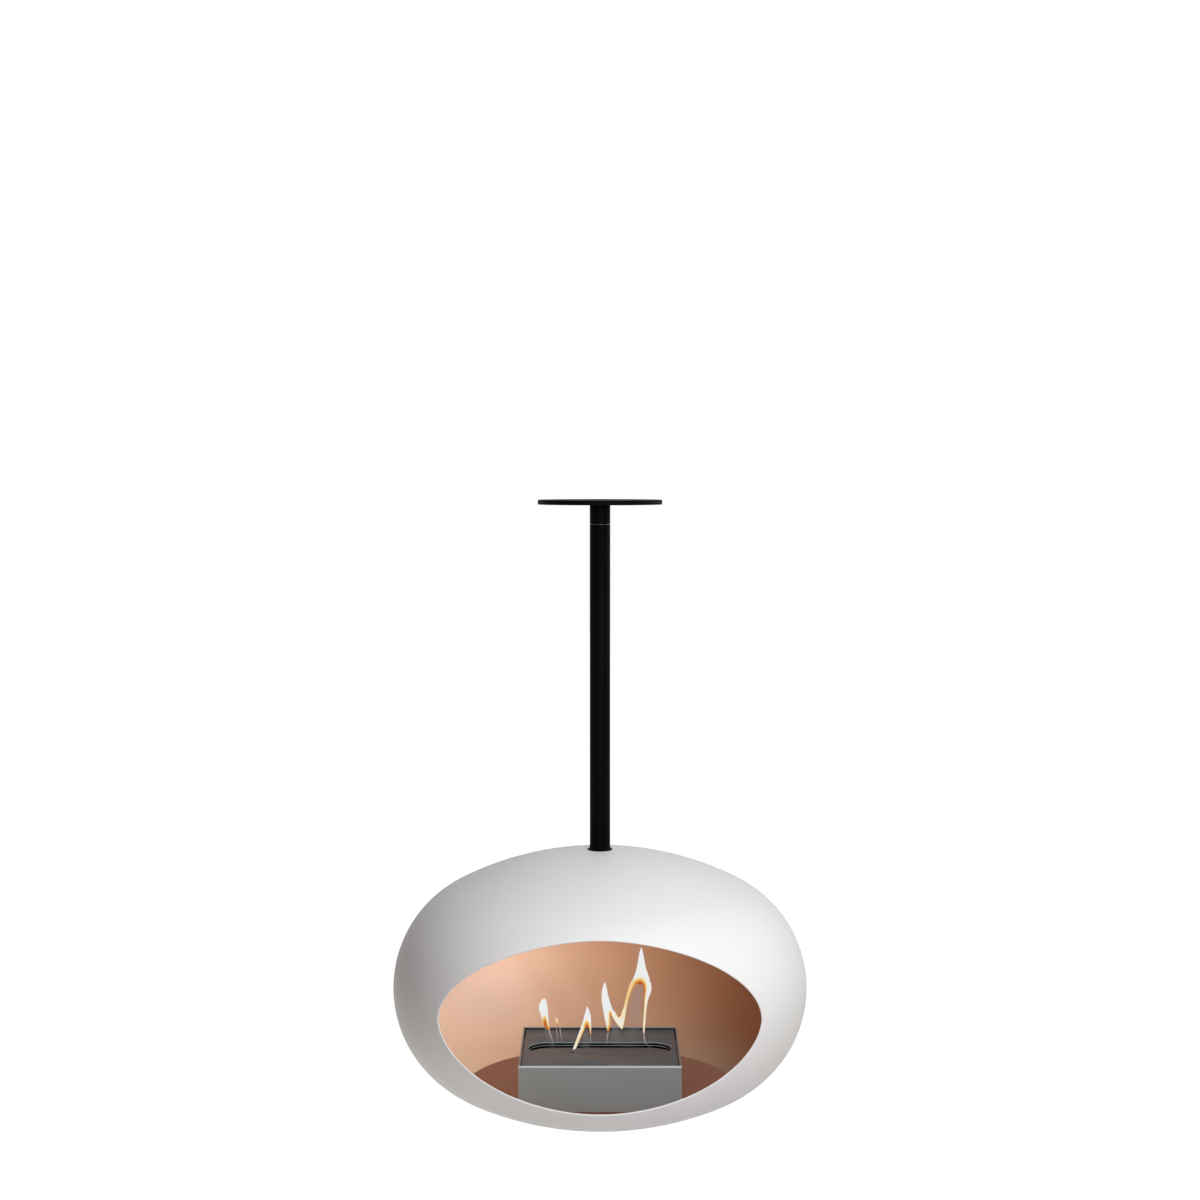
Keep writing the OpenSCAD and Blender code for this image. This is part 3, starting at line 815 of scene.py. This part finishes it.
rose = turned("ceiling_rose", [(TUBE_R - TUBE_WALL, 0), (ROSE_R, 0), (ROSE_R, -ROSE_THICK),
                               (TUBE_R - TUBE_WALL, -ROSE_THICK)], steps=160)
hole_circle, hole_r, sink_r, sink_deep = 75.0, 3.5, 9.0, 5.5
for quarter in range(4):
    turn = math.radians(45 + 90 * quarter)
    x, y = hole_circle * math.cos(turn), hole_circle * math.sin(turn)
    bpy.ops.object.select_all(action="DESELECT")
    bpy.ops.mesh.primitive_cone_add(
        vertices=48, radius1=sink_r * MM, radius2=hole_r * MM, depth=sink_deep * MM,
        location=(x * MM, y * MM, (sink_deep / 2 - ROSE_THICK - 2) * MM))
    cut(rose, settled("sink_tool"), rod("hole_tool", hole_r, -ROSE_THICK - 1.5, 1, (x, y), sides=48))
fitted(eased(rose, 0.6, 3), "ceiling_mount", BLACK, "black_coat", "ceiling_plate")


# ---- burner case ----

case = block("burner_case", (-SIDE, FRONT, CASE_BOTTOM), (SIDE, BACK, RIM))
choose(case, "EDGE", lambda at, along: at.y < FRONT + 1 and at.z > RIM - 1)
bpy.ops.mesh.bevel(offset=FOLD_R * MM, segments=6)
bpy.ops.mesh.select_all(action="SELECT")
bpy.ops.mesh.bisect(plane_co=(0, (FRONT + LIP) * MM, 0), plane_no=(0, 1, 0))
close()
choose(case, "FACE", lambda at, n: n.z > 0.9 and at.y > FRONT + LIP + 0.5)
bpy.ops.mesh.delete(type="FACE")
close()
modified(case, "SOLIDIFY", thickness=SHEET * MM, offset=-1, use_even_offset=True)
choose(case, "EDGE", lambda at, along: abs(at.x) > SIDE - 0.1 and (
    abs(along.z) > 0.95 and (at.y < FRONT + 0.1 or at.y > BACK - 0.1)
    or at.y < FRONT + FOLD_R - 0.1 and at.z > RIM - FOLD_R - 0.1))
bpy.ops.mesh.bevel(offset=1.4 * MM, segments=4)
close()
fitted(eased(case, 0.35, 2, 50), "housing", CASING, "grey_coat", "burner_housing")

# One pad, hollowed a little below, and its copies under the case's four corners
foot_r, foot_in, foot_out = 11.0, 25.0, 93.0
foot = rod("foot", foot_r, FLOOR_TOP + 0.3, CASE_BOTTOM, sides=48)
choose(foot, "FACE", lambda at, n: n.z < -0.9)
bpy.ops.mesh.inset(thickness=2 * MM)
bpy.ops.mesh.extrude_region_move(TRANSFORM_OT_translate={"value": (0, 0, 0.5 * MM)})
close()
eased(foot, 0.3)
feet = []
for x, y in ((-1, -1), (1, -1), (-1, 1), (1, 1)):
    feet.append(copied(foot, "foot"))
    everything(feet[-1])
    bpy.ops.transform.translate(value=(x * (SIDE - foot_in) * MM, (SLOT_Y + y * foot_out) * MM, 0))
    close()
bpy.data.objects.remove(foot)
fitted(joined("case_feet", feet), "housing", RUBBER, "pad_rubber", "housing_feet")


# ---- tank, lid, top plate and damper ----

def arc(x, y, r, from_angle, turn, steps):
    """Points round a middle, from one angle on through a turn, in degrees."""
    angles = [math.radians(from_angle + turn * i / steps) for i in range(steps + 1)]
    return [(x + r * math.cos(a), y + r * math.sin(a)) for a in angles]


def slot_tool(level):
    """The body that cuts the slot, with half-round ends, through a plate whose top is at this level."""
    r, reach = SLOT_L / 2, (SLOT_W - SLOT_L) / 2
    return slab("slot_tool", arc(reach, SLOT_Y, r, -90, 180, 32) + arc(-reach, SLOT_Y, r, 90, 180, 32),
                level - 4, level + 2)


# The notch is deeper than the solid's, because from the photograph's height the fold hides its start
front_left, front_right = (-PLATE_HALF, PLATE_FRONT), (PLATE_HALF, PLATE_FRONT)
back_left, back_right = (-PLATE_HALF, PLATE_BACK), (PLATE_HALF, PLATE_BACK)
notch = arc(0, PLATE_FRONT + NOTCH_STRAIGHT, NOTCH_R, 180, -180, 24)
cover = slab("cover_plate", [front_left, (-NOTCH_R, PLATE_FRONT), *notch, (NOTCH_R, PLATE_FRONT),
                             front_right, back_right, back_left], TOP - TOP_THICK, TOP)
cut(cover, slot_tool(TOP))
fitted(eased(cover, 0.3, 2), "top_cover", COVER, "grey_coat", "top_plate")

lid = slab("tank_cover", [front_left, front_right, back_right, back_left], LID - LID_THICK, LID)
cut(lid, slot_tool(LID))
fitted(eased(lid, 0.3, 2), "tank", LID_COAT, "grey_coat", "tank_lid")

# The damper's front corners are tight and its rear ones wide
hook_r, hook_x, hook_back = 3.5, -45.0, 46.0
damper_edge = (arc(-100, DAMPER_FRONT + 20, 20, 180, 90, 12) + arc(100, DAMPER_FRONT + 20, 20, 270, 90, 12)
               + arc(76, DAMPER_FRONT + 28, 44, 0, 90, 12) + arc(-76, DAMPER_FRONT + 28, 44, 90, 90, 12))
damper = slab("flame_damper", damper_edge, LID + 0.4, LID + 0.4 + DAMPER_THICK)
cut(damper, rod("hook_tool", hook_r, LID - 2, LID + 4, (hook_x, DAMPER_FRONT + hook_back), 48))
fitted(eased(damper, 0.3, 2), "damper_plate", PLATE, "grey_coat", "damper")

tank = slab("fuel_tank", rounded(TANK_W, TANK_L, 12, SLOT_Y), TANK_BOTTOM, LID - LID_THICK)
choose(tank, "EDGE", lambda at, along: at.z < TANK_BOTTOM + 0.5)
bpy.ops.mesh.bevel(offset=2.5 * MM, segments=3)
close()
choose(tank, "FACE", lambda at, n: n.z > 0.9)
bpy.ops.mesh.delete(type="FACE")
close()
modified(tank, "SOLIDIFY", thickness=TANK_WALL * MM, offset=-1, use_even_offset=True)
fitted(eased(tank, 0.2, 2, 60), "tank", TANK, "tank_steel", "tank_body")

# The wool fills the tank to 0.5 mm from its walls, and its faces are a little uneven
wool_w, wool_l = (across - 2 * TANK_WALL - 1 for across in (TANK_W, TANK_L))
pad = slab("fire_wool", rounded(wool_w, wool_l, 10, SLOT_Y), WOOL_BOTTOM, WOOL_TOP)
everything(pad)
bpy.ops.mesh.bisect(plane_co=(0, SLOT_Y * MM, 0), plane_no=(1, 0, 0))
close()
modified(pad, "REMESH", mode="VOXEL", voxel_size=2.2 * MM)
everything(pad)
bpy.ops.transform.vertex_random(offset=0.55 * MM, uniform=0.6, normal=0.4, seed=7)
close()
modified(pad, "SMOOTH", factor=0.4, iterations=2)
smooth(pad, 80)
fitted(pad, "tank", WOOL, "ceramic_wool", "wool_pad")

# These pieces keep their CAD shapes and get their finishes
for name, finish in (("stub_boss", TURNED), ("swivel_bush", BRONZE), ("hanger_bolt", ZINC),
                     ("thrust_washer", TURNED), ("hanger_nut", ZINC), ("glide_washer", ACETAL),
                     ("pole_top_plug", TURNED), ("pole_bottom_plug", TURNED), ("hood_washer", ZINC),
                     ("spring_washer", ZINC), ("ledge_left", STAINLESS), ("ledge_right", STAINLESS),
                     ("wool_grid", DARK), ("damper_rail_left", DARK), ("damper_rail_right", DARK)):
    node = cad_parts[name]
    node.data.materials.clear()
    node.data.materials.append(finish)


# ---- flames ----

def seen(x, up, y):
    """Where a place in the flames' plane, x across and up above the lid, lies when moved to depth y."""
    flat = Vector((x, FLAME_Y, LID + up))
    return EYE + (flat - EYE) * ((y - EYE.y) / (flat.y - EYE.y))


def strand(stations, depth=0.55):
    """A strand of flame: a ring pulled from station to station, depth times as deep as it is wide there."""
    rings = []
    for left, right, up, *rest in stations:
        half = max((right - left) / 2, 0.5)
        y = rest[3] if len(rest) > 3 else FLAME_Y
        rings.append((seen((left + right) / 2, up, y) * MM, half * MM, max(half * depth, 0.6) * MM))
    here, half, deep = rings[0]
    bpy.ops.object.select_all(action="DESELECT")
    bpy.ops.mesh.primitive_circle_add(vertices=10, radius=0.001, fill_type="NGON", location=here)
    piece = settled("strand")
    everything(piece)
    bpy.ops.mesh.select_mode(type="FACE")
    bpy.ops.mesh.select_all(action="SELECT")
    bpy.ops.transform.resize(value=(half / 0.001, deep / 0.001, 1), center_override=here)
    for there, new_half, new_deep in rings[1:]:
        bpy.ops.mesh.extrude_region_move(TRANSFORM_OT_translate={"value": there - here})
        bpy.ops.transform.resize(value=(new_half / half, new_deep / deep, 1), center_override=there)
        here, half, deep = there, new_half, new_deep
    bpy.ops.mesh.select_all(action="SELECT")
    bpy.ops.mesh.normals_make_consistent(inside=False)
    close()
    return modified(piece, "SUBSURF", levels=2, render_levels=2)


def between(first, second, t):
    """What lies a share t of the way from the first list of numbers to the second."""
    return [p + (q - p) * t for p, q in zip(first, second)]


def tinted(piece, strands, embers=(), faint=False):
    """Notes at every point how warm and how dense the flame is there. Warmth comes from the nearest stations
    and rises towards the embers, lines of (x, up, warmth, reach); a faint strand thins out to its sides."""
    sample_step, near, spread = 2.5, 9, 3
    samples = []
    for stations in strands:
        full = [(*station[:5], station[5] if len(station) > 5 else 1.0) for station in stations]
        for first, second in zip(full, full[1:]):
            steps = max(2, int(abs(first[2] - second[2]) / sample_step))
            samples += [between(first, second, i / steps) for i in range(steps + 1)]
    lines = [pair for line in embers for pair in zip(line, line[1:])]
    mesh = piece.data
    warmth = mesh.attributes.new("warmth", "FLOAT", "POINT")
    cover = mesh.attributes.new("cover", "FLOAT", "POINT")
    for corner in mesh.vertices:
        place = corner.co / MM
        flat = EYE + (place - EYE) * ((FLAME_Y - EYE.y) / (place.y - EYE.y))
        x, up = flat.x, flat.z - LID
        total = heat = dense = side = 0.0
        for left, right, height, warm_left, warm_right, cast in samples:
            if abs(up - height) > near:
                continue
            half = max((right - left) / 2, 0.8)
            aside = (x - (left + right) / 2) / half
            pull = 1 / (aside * aside + ((up - height) / spread) ** 2 + 0.08) ** 3
            total += pull
            heat += pull * (warm_left + (warm_right - warm_left) * min(max((aside + 1) / 2, 0), 1))
            dense += pull * cast
            side += pull * min(abs(aside), 1)
        heat, dense, side = (value / max(total, 1e-9) for value in (heat, dense, side))
        glow = heat
        for first, second in lines:
            dx, dz = second[0] - first[0], second[1] - first[1]
            t = min(max(((x - first[0]) * dx + (up - first[1]) * dz) / (dx * dx + dz * dz), 0), 1)
            ex, ez, hot, reach = between(first, second, t)
            close_by = 1 - min(math.hypot(x - ex, up - ez) / reach, 1)
            glow = max(glow, heat + (hot - heat) * close_by * close_by * (3 - 2 * close_by))
        warmth.data[corner.index].value = glow
        cover.data[corner.index].value = dense * ((1 - side * side) ** 1.5 if faint else 1)
    return piece


def burning(name, bodies, embers, wisps):
    """A flame: its bodies melt into one, and its faint wisps stay apart."""
    core = joined(name, [strand(stations) for stations in bodies])
    modified(core, "REMESH", mode="VOXEL", voxel_size=0.7 * MM)
    modified(core, "SMOOTH", factor=0.5, iterations=3)
    tinted(core, bodies, embers)
    faint = [tinted(strand(stations, 0.06), [stations], faint=True) for stations in wisps]
    core = joined(name, [core, *faint])
    smooth(core, 180)
    fitted(core, "tank", FLAME, None)
    core.visible_shadow = False
    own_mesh(core)


# Each flame has its bodies, its embers and its wisps. A station of a body or a wisp is left, right, up, the
# warmth at left and at right, then how dense it is, unless 1, and its depth y, unless FLAME_Y. A point of an
# ember is x, up, warmth and reach.
burning("flame_tall", [
    [(66.6, 67.2, 165, 0, 0), (64.6, 68.8, 159, 0, 0), (62.4, 71.2, 150, 0, 0), (61, 72.8, 140, 0, 0),
     (59, 74.8, 130, 0, 0), (57.2, 77.2, 123, 0, 0), (54.6, 79.8, 116.5, 0, 0), (51.8, 81.8, 110.5, 0, 0),
     (50.6, 82.5, 107, 0, 0)],
    [(54, 76, 114, 0, 0), (56, 74, 110, 0, 0), (58, 72.5, 106.5, 0, 0), (61, 70, 102.5, 0.1, 0.1)],
    [(50.6, 63.5, 109, 0.1, 0.3), (49.4, 60, 105.3, 0.15, 0.4), (47.8, 56.8, 101.8, 0.3, 0.5),
     (46.4, 54, 98.4, 0.35, 0.5), (44.4, 50.8, 92.2, 0.4, 0.5), (42.8, 48.5, 85.7, 0.4, 0.45),
     (41.2, 46.4, 79.1, 0.4, 0.45), (39.9, 44.9, 72.6, 0.38, 0.4), (38.5, 43.6, 66, 0.34, 0.36),
     (36.1, 42.6, 59.5, 0.26, 0.32), (33.4, 41.8, 54.5, 0.2, 0.28), (30, 41.2, 49.5, 0.18, 0.25),
     (28.4, 40.2, 44, 0.15, 0.22), (30.4, 39, 38, 0.16, 0.24), (32.4, 37.8, 33, 0.22, 0.3),
     (34.2, 36.4, 28.7, 0.35, 0.35, 0.8)],
    [(66.3, 82.5, 108.5, 0, 0), (68.4, 83, 104.5, 0.1, 0), (70, 83.6, 100, 0.1, 0),
     (71.2, 84.2, 96, 0.1, 0), (71.9, 83.2, 91, 0.1, 0), (72.2, 81.2, 86, 0.12, 0),
     (72.1, 79.2, 81, 0.16, 0.04), (71.8, 77.8, 76, 0.22, 0.1), (71.5, 76.5, 68, 0.28, 0.2),
     (71, 75.6, 60, 0.3, 0.25), (70.5, 74.9, 52.5, 0.3, 0.3), (69.7, 74, 40, 0.26, 0.32),
     (69.2, 73.3, 33, 0.24, 0.34), (69.4, 72.8, 27, 0.2, 0.3, 0.85), (70.1, 72.5, 21, 0.15, 0.2, 0.6)],
    [(7.1, 7.9, 107.5, 0, 0), (5.6, 9.8, 103, 0, 0), (3.4, 11.4, 96, 0, 0), (2.3, 12.8, 89, 0, 0),
     (1.8, 14.4, 81.8, 0, 0), (2.6, 17.1, 72.6, 0, 0), (3.6, 19.5, 66, 0, 0), (4.6, 21.7, 61, 0, 0),
     (5.5, 20, 56.5, 0, 0.1), (6.2, 16.8, 52, 0.03, 0.2), (7.2, 16.7, 47, 0.05, 0.3),
     (8.4, 16.7, 41.5, 0.1, 0.35), (9.5, 16.5, 36, 0.18, 0.4), (10.6, 16.2, 31, 0.3, 0.5),
     (11.8, 15.2, 26.6, 0.5, 0.6), (12.7, 13.9, 24.4, 0.6, 0.7, 0.8)],
    [(12, 22, 61, 0, 0), (15.3, 24.8, 57.5, 0, 0), (17.3, 27.2, 53.5, 0.1, 0.1),
     (19.4, 30.7, 49.3, 0.15, 0.2), (22.4, 36, 45, 0.15, 0.2), (26, 38.5, 40, 0.15, 0.2),
     (29.8, 38.5, 35, 0.2, 0.2), (33, 37, 31, 0.25, 0.25)]],
    [[(56.6, 101.2, 0.62, 5), (60.5, 103.6, 0.82, 11), (64.8, 104.6, 0.85, 15), (68.4, 103, 0.84, 11),
      (70.8, 98.5, 0.84, 7.5), (72, 92, 0.8, 5.6), (72.3, 86, 0.7, 3.6), (71.9, 78, 0.5, 2.4),
      (71.5, 70, 0.4, 1.6)],
     [(56.6, 101.2, 0.6, 3.2), (53.8, 98.2, 0.6, 2.6), (50.6, 92, 0.52, 2.2), (46.2, 79, 0.48, 2)],
     [(16.3, 60, 0.3, 3), (16.8, 55, 0.74, 4.4), (16.8, 48, 0.72, 3.2), (16.7, 40, 0.66, 3),
      (16.2, 33, 0.72, 3.8), (14.4, 26.5, 0.78, 4.4)],
     [(17.5, 53, 0.7, 2.6), (22.2, 45, 0.48, 1.9), (28, 37.5, 0.36, 1.6)],
     [(26, 55.4, 0.3, 1.5), (28.5, 51.9, 0.72, 2.8), (30.8, 50.4, 0.84, 3.4), (33.2, 52.8, 0.76, 2.8),
      (35, 56, 0.45, 2)],
     [(34.4, 30.5, 0.4, 3), (35.2, 28.4, 0.5, 3)]],
    [[(70.1, 72.3, 22, 0.88, 0.88, 0.7), (70.8, 72.6, 14, 0.9, 0.9, 0.55), (72.4, 74, 8, 0.9, 0.9, 0.4),
      (75, 76.6, 4, 0.9, 0.9, 0.3, -26), (87, 88.4, -6, 0.9, 0.9, 0.16, -46)],
     [(12, 14.6, 24.4, 0.88, 0.88, 0.6), (11.2, 13.2, 18, 0.9, 0.9, 0.4),
      (10.4, 12.2, 12, 0.93, 0.93, 0.25), (9, 11, 3, 0.96, 0.96, 0.12)],
     [(61, 69, 103, 1, 1, 0.12), (54, 71.5, 95, 1, 1, 0.2), (48, 72, 82, 1, 1, 0.22),
      (43.5, 71.6, 64, 1, 1, 0.2), (40.5, 70.8, 46, 1, 1, 0.17), (37, 70.4, 30, 1, 1, 0.12),
      (30, 70.5, 14, 1, 1, 0.06), (24, 71, -2, 1, 1, 0.02)],
     [(16.5, 19, 52, 1, 1, 0.12), (16.5, 26, 42, 1, 1, 0.2), (16, 33, 30, 1, 1, 0.17),
      (15, 38, 16, 1, 1, 0.1), (14, 42, 0, 1, 1, 0.03)]])

burning("flame_left", [
    [(-91.2, -89.2, 80.5, 0, 0), (-95.4, -87, 77, 0, 0), (-98.3, -85.5, 72.6, 0, 0),
     (-99.8, -84.6, 66.5, 0, 0), (-99.6, -84.2, 62, 0, 0), (-98.5, -84, 58, 0, 0),
     (-96.6, -83.7, 53, 0.06, 0), (-95, -83.4, 47.7, 0.25, 0.05), (-93.7, -83, 42.5, 0.42, 0.15),
     (-92.7, -82.5, 38.6, 0.5, 0.22), (-91.2, -81.8, 35, 0.56, 0.3), (-88.8, -81.1, 31.4, 0.6, 0.5, 0.85),
     (-85, -80.4, 28, 0.6, 0.6, 0.6)]],
    [[(-90, 53, 0.2, 4), (-89.8, 47, 0.64, 5), (-89.2, 41, 0.8, 5.4), (-88.6, 36, 0.86, 5.2),
      (-86.4, 32.8, 0.82, 4.4), (-83.6, 29, 0.74, 3)]],
    [[(-84.2, -81.2, 30, 0.86, 0.86, 0.7), (-82.8, -80.8, 25, 0.9, 0.9, 0.6),
      (-80.4, -78.8, 18, 0.9, 0.9, 0.45), (-77.6, -76.2, 10, 0.92, 0.92, 0.28),
      (-75.5, -74, 1, 0.96, 0.96, 0.12)],
     [(-92, -84, 32, 1, 1, 0.14), (-91, -80, 20, 1, 1, 0.09), (-86, -76, 8, 1, 1, 0.05),
      (-80, -70, -6, 1, 1, 0.04)]])

burning("flame_spark", [
    [(-71.3, -70.3, 51, 0.5, 0.5, 0.45), (-72.4, -69, 46, 0.26, 0.3, 0.55),
     (-72.2, -67.8, 42, 0.3, 0.32, 0.6), (-71.4, -66.8, 38.5, 0.5, 0.45, 0.62),
     (-70, -65.8, 35.5, 0.7, 0.7, 0.55)]],
    [[(-69.6, 40, 0.5, 2), (-68.4, 36.4, 0.82, 3)]],
    [[(-71.8, -70.6, 35, 0.88, 0.88, 0.5), (-71.2, -70, 28, 0.9, 0.9, 0.45),
      (-69.6, -68.6, 16, 0.92, 0.92, 0.3), (-68.6, -67.8, 8, 0.96, 0.96, 0.12)],
     [(-67, -65.4, 35.5, 0.86, 0.86, 0.6), (-65, -63.6, 26, 0.9, 0.9, 0.5),
      (-63, -61.8, 16, 0.92, 0.92, 0.3), (-61.6, -60.8, 8, 0.96, 0.96, 0.12)]])

burning("flame_fork", [
    [(-21.2, -20.4, 68, 0, 0), (-22.4, -18.6, 63.4, 0, 0), (-24, -16.4, 58.2, 0, 0),
     (-25.5, -14.9, 53, 0, 0), (-27.2, -14.1, 46.4, 0, 0), (-28.6, -13.8, 41, 0, 0),
     (-29.4, -13.9, 38.5, 0, 0)],
    [(-28.6, -19.5, 41.5, 0, 0.1), (-29.8, -21.4, 37, 0, 0.2), (-31.2, -23.2, 33, 0.05, 0.3),
     (-33.4, -25.5, 26.8, 0.1, 0.38, 1, -18), (-36, -28.5, 20.2, 0.15, 0.42, 1, -22),
     (-38.2, -31.5, 13.7, 0.18, 0.4, 1, -28), (-40.6, -34.6, 7.1, 0.2, 0.36, 1, -34),
     (-43.1, -37.2, 0.6, 0.16, 0.28, 1, -40), (-45.4, -40.4, -4.7, 0.05, 0.12, 0.95, -46)],
    [(-21.5, -13.9, 40.5, 0.1, 0), (-19.2, -13.9, 36, 0.3, 0), (-18.2, -13.9, 31.5, 0.4, 0.1),
     (-17.3, -14, 27, 0.5, 0.25), (-16.6, -14.2, 22.5, 0.6, 0.4), (-16.1, -14.7, 18.5, 0.7, 0.6, 0.8)],
    [(-27, -15, 44, 0, 0), (-26.5, -16, 40, 0, 0), (-26, -17, 36, 0, 0), (-24.6, -19, 31, 0.1, 0.1)]],
    [[(-21.2, 44, 0.3, 4), (-21.4, 39, 0.66, 7), (-21.4, 34.5, 0.84, 8), (-21.2, 32, 0.85, 8)],
     [(-22.5, 35, 0.8, 3.2), (-24.6, 30, 0.7, 2.6), (-28, 22.5, 0.62, 2.4), (-31.6, 14, 0.56, 2.2),
      (-35, 7, 0.45, 1.8)],
     [(-19.5, 35, 0.86, 3.2), (-18, 29, 0.82, 2.8), (-16.8, 23, 0.78, 2.2), (-15.9, 18.5, 0.8, 2.6)]],
    [[(-16.1, -14.9, 18.5, 0.86, 0.86, 0.55), (-15.9, -14.9, 12, 0.92, 0.92, 0.3),
      (-15.7, -14.9, 5, 0.96, 0.96, 0.12)],
     [(-24, -19, 33, 1, 1, 0.12), (-28, -16.5, 22, 1, 1, 0.16), (-31, -15, 10, 1, 1, 0.1),
      (-33, -14, -4, 1, 1, 0.04)]])


# ---- stage, world and lamps ----

bpy.ops.object.select_all(action="DESELECT")
bpy.ops.mesh.primitive_plane_add(size=60, location=(0, 0, -2.5))
ground = settled("studio_floor")
g = Finish("studio_floor", Base_Color=(0.8, 0.8, 0.8), Roughness=0.9, Specular_IOR_Level=0.0,
           Emission_Strength=1.0)
away = g.node("ShaderNodeVectorMath", {"operation": "LENGTH"}, {0: g.spot(shift=(0, 0, 2.5))}, "Value")
glow = (0.62 + (away - 0.8) * 0.3).at_least(0.62).at_most(1.0)
g.feed(Emission_Color=g.mixed(glow * g.looked_at(), (0.0, 0.0, 0.0), (1.0, 1.0, 1.0)))
ground.data.materials.append(g.material)

world = bpy.data.worlds.new("studio")
bpy.context.scene.world = world
# A soft sky that lights the pieces, and a white one that is seen
w = Nodes(world)
soft = w.node("ShaderNodeBackground", {}, {"Color": (1.0, 0.83, 0.80), "Strength": 0.16})
white = w.node("ShaderNodeBackground", {}, {"Color": (1.0, 1.0, 1.0), "Strength": 1.0})
sky = w.tree.nodes.new("ShaderNodeOutputWorld")
w.put(sky.inputs["Surface"], w.node("ShaderNodeMixShader", {}, {0: w.looked_at(), 1: soft, 2: white}))


def lamp(name, across, up, far, size, level, colour=(1.0, 1.0, 1.0), aim=(0, 0, HOOD_Z)):
    """A square soft light, far metres from its aim, across degrees right of the front and up degrees
    above it. On a white face that looks at it, level 1 gives white."""
    a, e = math.radians(across), math.radians(up)
    way = Vector((math.cos(e) * math.sin(a), -math.cos(e) * math.cos(a), math.sin(e)))
    bpy.ops.object.light_add(type="AREA", location=Vector(aim) * MM + way * far)
    light = bpy.context.object
    light.name = name
    light.data.size, light.data.color = size, colour
    light.data.energy = level * (math.pi * far) ** 2
    light.rotation_euler = way.to_track_quat("Z", "Y").to_euler()
    light.visible_camera = False
    return light


def group(name, *pieces, state="INCLUDE"):
    """A set of pieces that a lamp takes in or leaves out."""
    made = bpy.data.collections.new(name)
    for piece in pieces:
        made.objects.link(piece)
    for member in made.collection_objects:
        member.light_linking.link_state = state
    return made


key = lamp("key_light", 15, 15, 2.6, 1.3, 0.49)
high = lamp("high_light", 42, 63, 2.6, 1.3, 0.40, (0.93, 0.98, 1.06))
side = lamp("side_light", 100, 20, 2.6, 1.3, 0.155, (1.0, 0.99, 0.87))
lamp("low_light", -105, -47, 1.6, 0.9, 0.165, (1.0, 1.0, 0.90))
front = lamp("front_light", 31, -10, 2.6, 1.3, 0.062)
copper_light = lamp("copper_light", 51, 2, 2.6, 1.6, 1.31, (1.13, 0.96, 0.85))
wall_light = lamp("copper_wall_light", 86, 28, 2.6, 1.8, 1.74, (0.54, 1.08, 1.40))
burner_light = lamp("burner_light", 10, 35, 2.4, 1.0, 1.0, (0.85, 0.99, 1.05))

# The photograph shows no shadow of the pole on the hood
no_pole = group("all_but_the_pole", pole, collar, state="EXCLUDE")
for light in (key, high, side):
    light.light_linking.blocker_collection = no_pole

# The copper and the burner have lamps of their own that reach past the hood's edge: nothing but the studio
# floor stands in the way of the copper's, nothing but the burner in the way of the burner's.
copper = (lining, hearth)
burner = (case, cover, damper, lid)
copper_only, floor_only = group("copper", *copper), group("below_the_copper", ground)
for light in (copper_light, wall_light):
    light.light_linking.receiver_collection = copper_only
    light.light_linking.blocker_collection = floor_only
burner_light.light_linking.receiver_collection = group("burner", *burner)
burner_light.light_linking.blocker_collection = group("in_the_burner", *burner, tank)
no_inside = group("all_but_the_inside", *copper, *burner, state="EXCLUDE")
for light in (key, front):
    light.light_linking.receiver_collection = no_inside

bpy.context.scene.view_settings.view_transform = "Standard"
